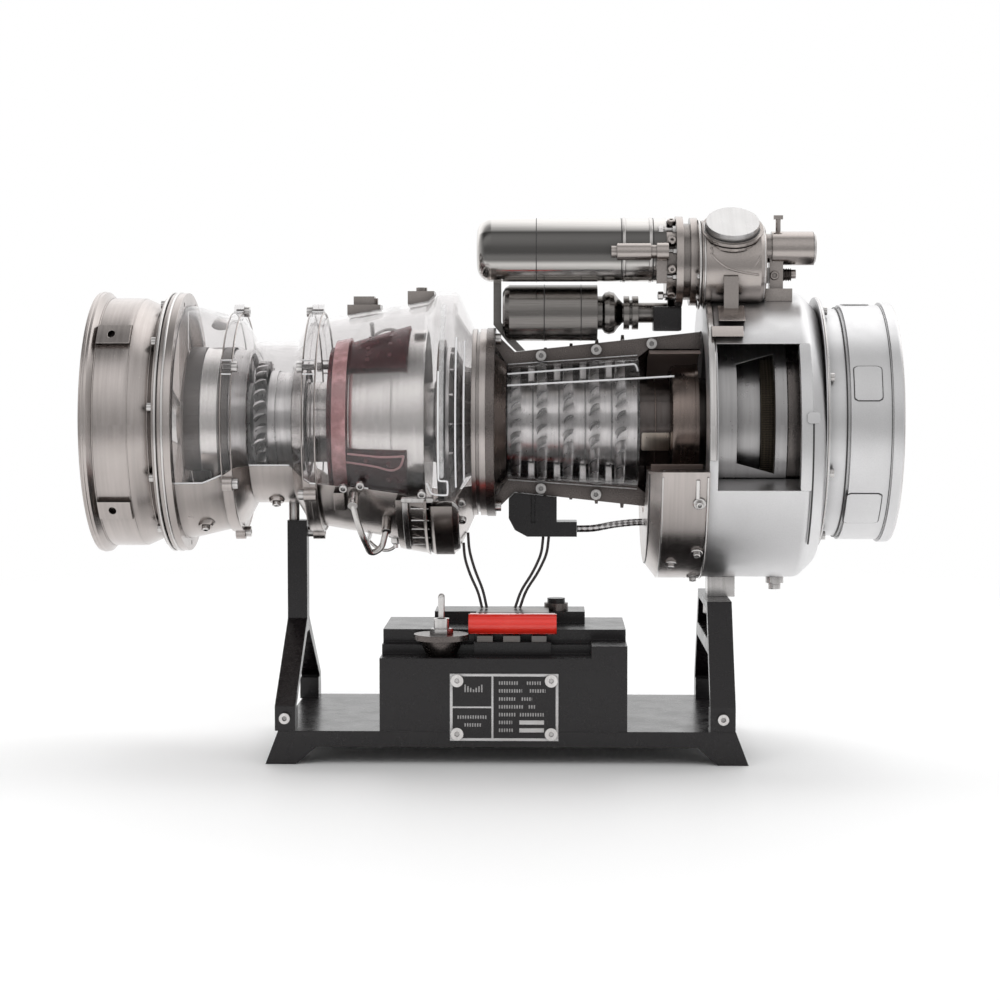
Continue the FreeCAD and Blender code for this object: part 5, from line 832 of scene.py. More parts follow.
@dataclass
class Studio:
    """The floor, the light and the camera.

    Attributes:
        eye: Where the camera stands.
        target: The point in the middle of the picture.
        lens: The camera's focal length in millimetres.
        sensor: Width of the camera's sensor in millimetres.
        floor_radius: Radius of the pale floor.
        floor_drop: How far the floor lies under the model's feet.
        left_sky: Light round the engine's axis at the exhaust's end, by angle in degrees
            from the camera's side over the top, with its brightness.
        right_sky: The same at the intake's end.
        end_sky: Brightness of the light beyond both ends.
        lamps: Soft lamps, each with its name, place, aim, width, depth and power.
    """

    eye: Point = (0.020, -0.810, 0.1371)
    target: Point = (0.002, 0.0, 0.0885)
    lens: float = 81.0
    sensor: float = 36.0
    floor_radius: float = 1.1
    floor_drop: float = 0.0001
    left_sky: Steps = (
        (-180.0, 1.0), (-133.0, 0.78), (-107.0, 0.56), (-87.0, 0.46), (-70.0, 0.62),
        (-45.0, 0.76), (-26.0, 0.68), (-8.0, 0.46), (8.0, 0.5), (24.0, 0.82), (40.0, 1.08),
        (54.0, 0.9), (64.0, 0.3), (84.0, 0.22), (100.0, 0.5), (120.0, 1.2), (150.0, 1.5),
        (180.0, 1.0),
    )
    right_sky: Steps = (
        (-180.0, 1.0), (-133.0, 0.76), (-107.0, 0.54), (-87.0, 0.5), (-66.0, 0.68),
        (-48.0, 0.7), (-28.0, 0.6), (-10.0, 0.45), (6.0, 0.54), (24.0, 0.76), (44.0, 0.76),
        (60.0, 0.66), (72.0, 0.5), (86.0, 1.1), (100.0, 1.6), (130.0, 1.7), (155.0, 1.3),
        (180.0, 1.0),
    )
    end_sky: float = 0.7
    lamps: tuple[tuple[str, Point, Point, float, float, float], ...] = (
        ("key_lamp", (-0.45, -0.75, 0.95), (0.0, 0.0, 0.1), 0.6, 0.35, 1.6),
        ("side_lamp", (0.95, -0.45, 0.35), (0.0, 0.0, 0.1), 0.15, 0.7, 0.8),
        ("top_lamp", (0.0, 0.35, 1.1), (0.0, 0.0, 0.1), 1.0, 0.35, 2.0),
    )

    def build(self) -> None:
        """Makes the floor, the sky, the lamps and the camera."""
        self._floor()
        self._sky()
        for name, place, aim, width, depth, power in self.lamps:
            light = bpy.data.lights.new(name, "AREA")
            light.shape = "RECTANGLE"
            light.size, light.size_y = width, depth
            light.energy = power
            lamp = hung(name, light, place, aim)
            lamp.visible_camera = False
            lamp.visible_glossy = False
        scene = bpy.context.scene
        camera = bpy.data.cameras.new("camera")
        camera.sensor_width = self.sensor
        camera.lens = self.lens
        camera.clip_start = 0.01
        scene.camera = hung("camera", camera, self.eye, self.target)
        scene.view_settings.view_transform = "Standard"

    def _floor(self) -> None:
        """Makes the floor, which fades out round the model."""
        mesh = bpy.data.meshes.new("floor")
        shape = bmesh.new()
        bmesh.ops.create_circle(shape, cap_ends=True, segments=96, radius=self.floor_radius)
        shape.to_mesh(mesh)
        shape.free()
        floor = bpy.data.objects.new("floor", mesh)
        floor.location.z = -self.floor_drop
        bpy.context.scene.collection.objects.link(floor)
        material = bpy.data.materials.new("pale_floor")
        material.use_nodes = True
        paint = Paint(material.node_tree)
        x, y, _ = paint.parts_of(paint.place())
        reach = (x * x + y * y).root()
        pale = paint.principled({"Base Color": (0.96, 0.96, 0.96), "Roughness": 0.6})
        clear = paint.take(paint.node("ShaderNodeBsdfTransparent", {}, {}))
        paint.surface(paint.blend(reach.within(0.22, 0.75), pale, clear))
        mesh.materials.append(material)

    def _sky(self) -> None:
        """Makes the light round the model, and plain white behind it."""
        world = bpy.data.worlds.new("studio_sky")
        bpy.context.scene.world = world
        world.use_nodes = True
        paint = Paint(world.node_tree)
        direction = paint.take(paint.node("ShaderNodeTexCoord", {}, {}), "Generated")
        x, y, z = paint.parts_of(direction)
        turn = z.turn_from(0.0 - y) / (2.0 * math.pi) + 0.5
        brightest = max(level for _, level in (*self.left_sky, *self.right_sky))
        bands = []
        for sky in (self.left_sky, self.right_sky):
            stops = [((angle + 180.0) / 360.0, (level / brightest,) * 3) for angle, level in sky]
            ramp = paint.node("ShaderNodeValToRGB", {"stops": stops}, {"Fac": turn})
            bands.append(paint.take(ramp))
        band = paint.mix(x.within(-0.16, 0.12), *bands)
        light = paint.mix(abs(x).within(0.72, 0.97), band, (self.end_sky / brightest,) * 3)
        seen = paint.take(paint.node("ShaderNodeLightPath", {}, {}), "Is Camera Ray")
        lit, plain = [
            paint.take(paint.node("ShaderNodeBackground", {}, {"Color": tone, "Strength": force}))
            for tone, force in ((light, brightest), ((1.0, 1.0, 1.0), 1.0))
        ]
        paint.surface(paint.blend(seen, lit, plain), "ShaderNodeOutputWorld")


# Building of pieces


def around(x: float, radius: float, angle: float, line: Line = ENGINE) -> Vector:
    """A point round a line along X.

    Args:
        x: Where along the line, in millimetres.
        radius: How far from the line.
        angle: Degrees from the camera's side over the top.
        line: The line's y and z.

    Returns:
        The point in millimetres.
    """
    turn = math.radians(angle)
    return Vector((x, line[0] - radius * math.cos(turn), line[1] + radius * math.sin(turn)))


def outward(angle: float) -> Vector:
    """The direction away from the engine's axis at an angle in degrees."""
    return around(0, 1, angle) - around(0, 0, 0)


def ring_of(x: float, radius: float, angles: Sequence[float]) -> list[Ring]:
    """Spots round the engine at one x and radius, each as x, radius and angle."""
    return [(x, radius, angle) for angle in angles]


def slab(left: float, right: float, low: float, high: float) -> Steps:
    """The outline of a plain band: x from and to, radius from and to."""
    return ((left, low), (left, high), (right, high), (right, low))


def socket_head(radius: float) -> Steps:
    """Steps of height and radius of a socket-head screw, from its seat up."""
    shares = ((0.0, 1.0), (0.8, 1.0), (1.0, 0.84), (1.0, 0.55), (0.5, 0.5))
    return tuple((height * radius, share * radius) for height, share in shares)


def arc_route(x: float, radius: float, start: float, end: float, count: int = 9) -> list[Vector]:
    """Control points of an arc round the engine's axis.

    Args:
        x: Where along the engine.
        radius: The arc's radius.
        start: Where it starts, in degrees.
        end: Where it ends.
        count: How many points there are.

    Returns:
        The points. Those between the ends lie a little outside the arc.
    """
    last = count - 1
    bulge = radius / math.cos(math.radians((end - start) / last / 2))
    return [
        around(x, bulge if 0 < step < last else radius, start + (end - start) * step / last)
        for step in range(count)
    ]


def placed(name: str, data: bpy.types.ID, finish: Finish, body: Body = Body.MODEL) -> None:
    """Puts a mesh or curve in the scene.

    Args:
        name: The piece's name.
        data: Its mesh or curve.
        finish: What it is finished in.
        body: The body that it moves with.
    """
    data.materials.append(finish.material())
    piece = bpy.data.objects.new(name, data)
    bpy.context.scene.collection.objects.link(piece)
    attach(piece, body.value)
    LOG.info("piece %s", name)


def pipes(
    name: str, routes: Sequence[Sequence[Sequence[float]]], radius: float, finish: Finish
) -> None:
    """Lays smooth rigid pipes or rods.

    Args:
        name: The piece's name.
        routes: The control points of each, in millimetres.
        radius: Their radius.
        finish: What they are finished in.
    """
    data = bpy.data.curves.new(name, "CURVE")
    data.dimensions = "3D"
    data.bevel_depth = radius * MM
    data.bevel_resolution = 3
    data.resolution_u = 8
    data.use_fill_caps = True
    for route in routes:
        spline = data.splines.new("NURBS")
        spline.points.add(len(route) - 1)
        for point, place in zip(spline.points, route):
            point.co = (*(Vector(place) * MM), 1.0)
        spline.order_u = min(3, len(route))
        spline.use_endpoint_u = True
    placed(name, data, finish)


def cut_edges(name: str, node: str, radius: float) -> None:
    """Lays a fine white line on the cut edges of a clear shell: partly the milky cut edge, partly a
    painted highlight along it.

    Args:
        name: The piece's name.
        node: The shell.
        radius: Radius of the line.
    """
    shell = bmesh.new()
    shell.from_mesh(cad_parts[node].data)
    bmesh.ops.remove_doubles(shell, verts=shell.verts, dist=1e-6)
    routes = []
    for edge in shell.edges:
        if len(edge.link_faces) != 2:
            continue
        slants = []
        for face in edge.link_faces:
            middle = face.calc_center_median()
            radial = Vector((0.0, middle.y, middle.z - ENGINE[1] * MM)).normalized()
            slants.append((face.normal.dot(radial), abs(face.normal.x)))
        cut = [slope for slope, along in slants if abs(slope) < 0.55 and along < 0.5]
        outer = [slope for slope, _ in slants if slope > 0.7]
        if len(cut) == 1 and len(outer) == 1:
            routes.append([vert.co / MM for vert in edge.verts])
    shell.free()
    pipes(name, routes, radius, FROST_AND_HIGHLIGHT)


class Workpiece:
    """One piece of the model, drawn in millimetres in the frame's axes."""

    def __init__(self, name: str) -> None:
        """Starts an empty piece with a name."""
        self.name = name
        self.mesh = bmesh.new()

    def skin(self, rings: Sequence[Sequence[Vector]], closed: bool = False) -> Workpiece:
        """Skins a row of rings that have the same number of points.

        Args:
            rings: The rings in order.
            closed: Whether the last ring joins the first. Otherwise both ends are capped.

        Returns:
            The piece.
        """
        rows = [[self.mesh.verts.new(point * MM) for point in ring] for ring in rings]
        following = rows[1:] + rows[:1] if closed else rows[1:]
        for first, second in zip(rows, following):
            for here in range(len(first)):
                ahead = (here + 1) % len(first)
                self.mesh.faces.new((first[here], first[ahead], second[ahead], second[here]))
        if not closed:
            self.mesh.faces.new(rows[0][::-1])
            self.mesh.faces.new(rows[-1])
        return self

    def turned(self, outline: Steps, span: Span = FULL_TURN, line: Line = ENGINE) -> Workpiece:
        """Turns a closed outline round a line along X.

        Args:
            outline: Pairs of x and radius.
            span: Where the turn starts and ends, in degrees from the camera's side over the top.
            line: The line's y and z.

        Returns:
            The piece.
        """
        start, end = span
        full = end - start >= 360.0
        count = max(3, round((end - start) / 3.0))
        angles = [start + (end - start) * step / count for step in range(count + (not full))]
        return self.skin([[around(*at, angle, line) for at in outline] for angle in angles], full)

    def beads(
        self, rings: Sequence[Ring], sides: int = 10, span: Span = FULL_TURN, line: Line = ENGINE
    ) -> Workpiece:
        """Adds rings with a round section.

        Args:
            rings: x, radius and thickness of each.
            sides: Faces round the section.
            span: Where the rings start and end, in degrees.
            line: y and z of the line that they go round.

        Returns:
            The piece.
        """
        turns = [2 * math.pi * step / sides for step in range(sides)]
        for x, radius, thick in rings:
            section = [(x + thick * math.cos(a), radius + thick * math.sin(a)) for a in turns]
            self.turned(section, span, line)
        return self

    def stud(
        self, place: Sequence[float], way: Sequence[float], steps: Steps, sides: int = 20
    ) -> Workpiece:
        """Turns steps of height and radius round a line, such as a screw's head.

        Args:
            place: The foot of the line.
            way: The line's direction.
            steps: Pairs of height and radius, from the foot up.
            sides: Faces round the line.

        Returns:
            The piece.
        """
        foot, up = Vector(place), Vector(way).normalized()
        first = up.orthogonal().normalized()
        second = up.cross(first)
        turns = [2 * math.pi * side / sides for side in range(sides)]
        ways = [first * math.cos(turn) + second * math.sin(turn) for turn in turns]
        return self.skin([[foot + up * rise + out * radius for out in ways] for rise, radius in steps])

    def studs(
        self, spots: Sequence[Ring], steps: Steps, sides: int = 20, rise: float = 0.0,
        line: Line = ENGINE,
    ) -> Workpiece:
        """Sets the same stud at several spots, pointing outwards.

        Args:
            spots: x, radius and angle of each.
            steps: Pairs of height and radius, from the foot up.
            sides: Faces round each stud.
            rise: How far above its spot a stud starts.
            line: y and z of the line that the spots are round.

        Returns:
            The piece.
        """
        for x, radius, angle in spots:
            way = outward(angle)
            self.stud(around(x, radius, angle, line) + way * rise, way, steps, sides)
        return self

    def patch(
        self, x: Span, angles: Span, radii: Span, corner: float = 1.2, line: Line = ENGINE
    ) -> Workpiece:
        """Lays a raised pad with rounded corners on a turned face.

        Args:
            x: Where it starts and ends along the engine.
            angles: Where it starts and ends round it, in degrees.
            radii: Radius of its foot and of its top.
            corner: Rounding of its corners.
            line: y and z of the line that the face was turned round.

        Returns:
            The piece.
        """
        chamfer = 0.1
        start, end = angles
        foot, top = radii
        arc = math.radians(end - start) * top
        count = max(6, int(arc / 0.6))
        rings = []
        for step in range(count + 1):
            away = min(step, count - step) / count * arc
            short = max(0.0, corner - away)
            inset = corner - math.sqrt(max(0.0, corner**2 - short**2))
            angle = start + (end - start) * step / count
            left, right = x[0] + inset, x[1] - inset
            outline = (
                (left, foot), (left, top - chamfer), (left + chamfer, top),
                (right - chamfer, top), (right, top - chamfer), (right, foot),
            )
            rings.append([around(*at, angle, line) for at in outline])
        return self.skin(rings)

    def block(
        self, low: Sequence[float], high: Sequence[float], corner: float = 0.3
    ) -> Workpiece:
        """Adds a block with bevelled edges.

        Args:
            low: Its lowest corner.
            high: Its highest corner.
            corner: Width of its bevels.

        Returns:
            The piece.
        """
        made = bmesh.ops.create_cube(self.mesh, size=1.0)["verts"]
        middle = (Vector(low) + Vector(high)) / 2
        size = Vector(high) - Vector(low)
        for vert in made:
            vert.co = (middle + Vector([c * s for c, s in zip(vert.co, size)])) * MM
        bmesh.ops.bevel(
            self.mesh, geom=list({edge for vert in made for edge in vert.link_edges}),
            offset=corner * MM, segments=2, profile=0.6, affect="EDGES",
        )
        return self

    def done(self, finish: Finish, body: Body = Body.MODEL) -> None:
        """Turns the work into an object of the scene.

        Args:
            finish: What it is finished in.
            body: The body that it moves with.
        """
        bmesh.ops.recalc_face_normals(self.mesh, faces=self.mesh.faces)
        data = bpy.data.meshes.new(self.name)
        self.mesh.to_mesh(data)
        self.mesh.free()
        for face in data.polygons:
            face.use_smooth = True
        data.set_sharp_from_angle(angle=math.radians(38.0))
        placed(self.name, data, finish, body)


# Sub-assemblies


@dataclass
class ExhaustTrim:
    """Beads and clamp of the exhaust duct.

    Attributes:
        beads: x, radius and thickness of each turned bead.
        wires: The same of the clamp's two wires.
        latch: x, radius and angle of the clamp's screw.
    """

    beads: tuple[Ring, ...] = (
        (-139.9, 46.3, 0.55), (-136.7, 44.55, 0.28), (-124.9, 44.1, 0.3), (-118.2, 41.3, 0.25),
    )
    wires: tuple[Ring, ...] = ((-114.9, 46.2, 0.5), (-112.5, 46.2, 0.5))
    latch: Ring = (-113.7, 46.6, 150.0)

    def build(self) -> None:
        """Makes the beads and the clamp."""
        Workpiece("duct_beads").beads(self.beads).done(WARM_STEEL)
        Workpiece("clamp_wires").beads(self.wires).done(BRIGHT_STEEL)
        foot, across = around(*self.latch), outward(self.latch[2] + 90)
        latch = Workpiece("clamp_latch")
        for shift in (-3.2, 0.0, 3.2):
            latch.stud(foot + across * (shift - 0.9), across, ((0, 1.5), (1.8, 1.5)), 6)
        latch.stud(foot - across * 6, across, ((0, 0.6), (12, 0.6)))
        latch.done(BRIGHT_STEEL)


@dataclass
class TurbineTrim:
    """Bosses, beads, inner bands and cut lines of the power turbine's casing.

    Attributes:
        bosses: x, radius and angle of each boss.
        beads: x, radius and thickness of each bead at the waist.
        bands: Name, x from and to, and finish of each band inside.
        band_radii: The bands' inner and outer radius.
        band_span: Angles where the bands start and end.
        line: Radius of the bright cut line.
    """

    bosses: tuple[Ring, ...] = (
        *ring_of(-101.5, 39.4, (-62.0, -118.0, 200.0, 160.0, 118.0)),
        *ring_of(-77.5, 28.2, (-70.0, -125.0, 195.0, 150.0)),
    )
    beads: tuple[Ring, ...] = (
        (-90.0, 39.25, 0.3), (-93.4, 39.25, 0.3), (-65.4, 39.25, 0.3), (-61.0, 39.1, 0.3),
    )
    bands: tuple[tuple[str, float, float, Finish], ...] = (
        ("turbine_band_rear", -108.2, -102.7, STRIP_STEEL),
        ("turbine_band_middle", -102.3, -96.5, FLAME_SILVER),
        ("turbine_band_front", -96.1, -92.8, STRIP_STEEL),
    )
    band_radii: Span = (26.62, 26.95)
    band_span: Span = (-38.0, 218.0)
    line: float = 0.28

    def build(self) -> None:
        """Makes the bosses, the beads, the bands and the cut lines."""
        bosses, heads = Workpiece("turbine_bosses"), Workpiece("turbine_boss_screws")
        bosses.studs(self.bosses, ((0, 3.2), (1.6, 2.6), (1.9, 2.4))).done(WARM_STEEL)
        heads.studs(self.bosses, socket_head(1.5), rise=1.9).done(BRIGHT_STEEL)
        cut_edges("turbine_window_line", "power_turbine_window", self.line)
        Workpiece("waist_beads").beads(self.beads).done(WARM_STEEL)
        for name, start, end, finish in self.bands:
            Workpiece(name).turned(slab(start, end, *self.band_radii), self.band_span).done(finish)


@dataclass
class CombustorTrim:
    """Painted highlights on the crown, flame tube, liner holes, fuel ring and lower fittings of the
    combustor.

    Attributes:
        crown_highlight_lines: x, radius, start and end angle of each painted highlight line on the
            bulge.
        hook: x, radius and angle along the painted highlight line that hooks round the crown's lower
            end.
        hole_rows: x, radius and number of each row of air holes.
        tube: x and radius of the flame tube's outline.
        outlines: x and z of the painted lines under the liner's opening.
        cone: x, radius and slope of the liner that those lines lie on.
        nozzle_angles: Angles of the fuel nozzles.
        nozzle_foot: x and radius of their feet.
        ring_x: x of the fuel ring.
        ring_radius: Radius of the fuel ring.
        rungs: Angles of the rungs of the lower box.
        screws: x, radius and angle of the screws round that box.
    """

    crown_highlight_lines: tuple[tuple[float, float, float, float], ...] = (
        (-18.1, 47.0, 23.0, -23.0), (-12.2, 46.8, 40.0, -27.0), (-9.6, 41.6, 44.0, -28.0),
    )
    hook: tuple[Ring, ...] = (
        (-18.1, 47.0, -23.0), (-18.1, 47.0, -24.0), (-15.2, 47.0, -24.0), (-15.0, 47.0, -24.5),
        (-15.0, 47.0, -30.0), (-15.3, 47.0, -31.0), (-20.6, 46.4, -31.0), (-21.4, 45.4, -29.0),
        (-22.2, 44.6, -26.5),
    )
    hole_rows: tuple[tuple[float, float, int], ...] = (
        (-52.0, 28.2, 22), (-44.0, 30.5, 24), (-36.0, 32.75, 26),
    )
    tube: Steps = (
        (-57.4, 24.2), (-57.4, 24.8), (-31.2, 33.0), (-23.8, 33.4), (-23.6, 33.2),
        (-23.6, 32.6), (-31.2, 32.3),
    )
    outlines: tuple[Steps, ...] = (
        ((-50.6, 106.2), (-44.0, 105.6), (-37.4, 105.0), (-30.6, 105.6)),
        ((-30.6, 105.6), (-31.2, 102.6), (-33.2, 100.8), (-36.0, 100.4), (-40.9, 102.0),
         (-51.0, 103.2)),
    )
    cone: Ring = (-51.2, 29.6, 0.27)
    nozzle_angles: tuple[float, ...] = (-96.0, -122.0, -148.0, 186.0, 160.0, 134.0)
    nozzle_foot: Span = (-36.0, 40.1)
    ring_x: float = -46.0
    ring_radius: float = 43.1
    rungs: tuple[float, ...] = (-38.0, -45.0, -51.0, -58.0, -65.0)
    screws: tuple[Ring, ...] = (
        (-24.0, 45.5, -31.0), (-10.6, 43.0, -38.0), (-10.6, 43.0, -50.0),
        (-45.5, 40.8, -30.5), (-51.5, 39.8, -33.0),
    )

    def build(self) -> None:
        """Makes the combustor's trims."""
        self._crown()
        self._liner()
        self._fuel_ring()
        self._lower_box()

    def _crown(self) -> None:
        """Makes the painted highlight lines and the painted highlight band of the clear bulge."""
        # Painted highlights: white lines and a pale band stand for the bright reflections on the clear
        # bulge.
        routes = [arc_route(*line) for line in self.crown_highlight_lines]
        pipes("crown_highlight_lines", [*routes, [around(*spot) for spot in self.hook]], 0.34, FROST_AND_HIGHLIGHT)
        band = Workpiece("painted_crown_highlight")
        band.patch((-17.9, -16.2), (-22.5, 62.0), (46.92, 47.1), 0.4).done(PAINTED_CROWN_HIGHLIGHT)
        cut_edges("combustor_window_line", "combustor_window", 0.26)

    def _liner(self) -> None:
        """Makes the air holes as dark discs of painted shade, the flame tube, the bands and the
        painted outline.
        """
        holes = Workpiece("liner_holes")
        for x, radius, count in self.hole_rows:
            angles = [47.0 + 288.0 * step / (count - 1) for step in range(count)]
            holes.studs(ring_of(x, radius, angles), ((0, 0.95), (0.3, 0.95)), 14)
        holes.done(LINER_HOLE_SHADE)
        ridges = ((-50.6, 26.95, 0.22), (-35.0, 31.85, 0.22))
        Workpiece("flame_tube").turned(self.tube).beads(ridges).done(FLAME_SILVER)
        band = Workpiece("liner_rear_band")
        band.turned(((-56.2, 28.2), (-56.2, 29.3), (-51.2, 30.3), (-51.2, 29.2))).done(LINER_BAND)
        routes = [[self._on_liner(*place) for place in places] for places in self.outlines]
        pipes("liner_outline", routes, 0.4, LINER_PINK)
        rings = [(x, 14.35, 0.3) for x in (-65.0, -57.0, -29.5, -21.0)]
        Workpiece("barrel_bands").beads(rings).done(BRIGHT_STEEL)

    def _on_liner(self, x: float, z: float) -> Vector:
        """Lays a point of the side view on the near side of the liner.

        Args:
            x: Its place along the engine.
            z: Its height.

        Returns:
            The point on the liner.
        """
        start, foot, slope = self.cone
        radius = foot + (x - start) * slope
        return around(x, radius, math.degrees(math.asin((z - ENGINE[1]) / radius)))

    def _fuel_ring(self) -> None:
        """Makes the fuel ring, which runs round the far side, with its nozzles and links."""
        route = arc_route(self.ring_x, self.ring_radius, -88.0, -236.0, 15)
        pipes("fuel_ring", [route], 0.9, BRIGHT_STEEL)
        spots = ring_of(*self.nozzle_foot, self.nozzle_angles)
        nozzles = Workpiece("fuel_nozzles")
        nozzles.studs(spots, ((0, 2.7), (1.8, 2.7), (2.1, 2.4)))
        nozzles.studs(spots, ((0, 1.9), (2.0, 1.9), (2.3, 1.6)), 6, 2.1)
        nozzles.studs(spots, ((0, 1.0), (1.6, 0.9)), rise=4.3).done(BRIGHT_STEEL)
        bends = ((self.ring_x, 0.0), (self.ring_x + 2.5, 3.2), (-38.0, 4.4))
        links = []
        for spot in spots:
            link = [around(x, self.ring_radius + out, spot[2]) for x, out in bends]
            links.append([*link, around(*spot) + outward(spot[2]) * 5.2])
        pipes("fuel_links", links, 0.6, BRIGHT_STEEL)

    def _lower_box(self) -> None:
        """Makes the rungs, rails, cover, lip and screws of the box under the combustor."""
        rungs = [[around(x, 46.9, turn) for x in (-28.0, -24.5, -20.8)] for turn in self.rungs]
        pipes("box_rungs", rungs, 0.35, BRIGHT_STEEL)
        rails = Workpiece("box_rails")
        rails.patch((-30.9, -28.9), (-72.0, -33.0), (46.2, 47.2), 0.8)
        rails.patch((-21.0, -20.2), (-72.0, -35.0), (46.2, 47.0), 0.3)
        rails.patch((-31.2, -20.0), (-34.5, -32.5), (46.0, 47.3), 0.5).done(BRIGHT_STEEL)
        cover, lip = Workpiece("box_cover"), Workpiece("box_cover_lip")
        cover.patch((-19.4, -11.9), (-72.0, -36.0), (46.2, 47.4), 3.2).done(GUNMETAL)
        lip.patch((-19.9, -11.5), (-74.0, -34.0), (46.2, 47.05), 3.6).done(BRIGHT_STEEL)
        Workpiece("box_screws").studs(self.screws, socket_head(1.55)).done(BRIGHT_STEEL)


@dataclass
class CompressorTrim:
    """Painted highlight lines, rear cone, hub pieces, inlet lining and case ribs of the compressor.

    Attributes:
        cover_highlight_lines: Control points of the painted highlight lines on the clear cover.
        cone: x and radius of the outline of the rear cone.
        collar: The same of the collar round the hub.
        ribs: x of each rib of the far half of the case.
        rib_radii: Radius of the case at the first and at the last rib.
        rib_span: Angles where the ribs start and end.
    """

    cover_highlight_lines: tuple[tuple[Point, ...], ...] = (
        ((4.9, -12.3, 133.9), (28.0, -12.2, 135.6), (49.5, -12.4, 137.4)),
        ((49.5, -12.4, 137.4), (50.6, -12.6, 137.4), (50.9, -13.6, 134.9)),
        ((4.9, -16.4, 129.9), (35.0, -17.6, 131.5), (63.5, -19.6, 133.2)),
    )
    cone: Steps = (
        (4.5, 4.4), (4.5, 21.0), (0.4, 24.6), (-0.6, 24.6), (3.4, 20.2), (3.4, 4.4),
    )
    collar: Steps = (
        (62.4, 15.6), (62.4, 18.2), (63.2, 20.0), (64.4, 20.6), (71.2, 20.6), (71.2, 21.0),
        (72.4, 21.0), (72.4, 15.6),
    )
    ribs: tuple[float, ...] = (9.0, 18.3, 27.6, 36.9, 46.2)
    rib_radii: Span = (25.6, 31.9)
    rib_span: Span = (105.0, 255.0)

    def build(self) -> None:
        """Makes the compressor's trims."""
        # Painted highlights: white lines along the clear cover stand for its reflections.
        pipes("cover_highlight_lines", self.cover_highlight_lines, 0.36, FROST_AND_HIGHLIGHT)
        cut_edges("compressor_cover_line", "compressor_window", 0.22)
        Workpiece("rear_cone").turned(self.cone).done(COLLAR_BRONZE)
        collar = Workpiece("hub_collar").turned(self.collar)
        collar.beads([(57.2, 15.75, 0.3)]).done(COLLAR_BRONZE)
        # Painted highlight: a beige strip on the hub's near side stands for its highlight.
        block = Workpiece("hub_highlight_strip")
        block.patch((52.3, 62.2), (-37.0, -12.0), (15.6, 16.2), 0.3).done(HUB_HIGHLIGHT_BEIGE)
        # Painted shade: a brown sheet lines the inlet's dim interior.
        lining = Workpiece("inlet_lining")
        lining.turned(slab(55.4, 73.6, 25.4, 25.8), (74.0, 326.0)).done(LINING_SHADE_BROWN)
        ribs = Workpiece("case_ribs")
        low, high = self.rib_radii
        for place, x in enumerate(self.ribs):
            radius = low + (high - low) * place / (len(self.ribs) - 1)
            foot, top = radius - 1.0, radius + 0.6
            outline = ((x - 0.7, foot), (x - 0.5, top), (x + 0.5, top), (x + 0.7, foot))
            ribs.turned(outline, self.rib_span)
        ribs.done(GUNMETAL)


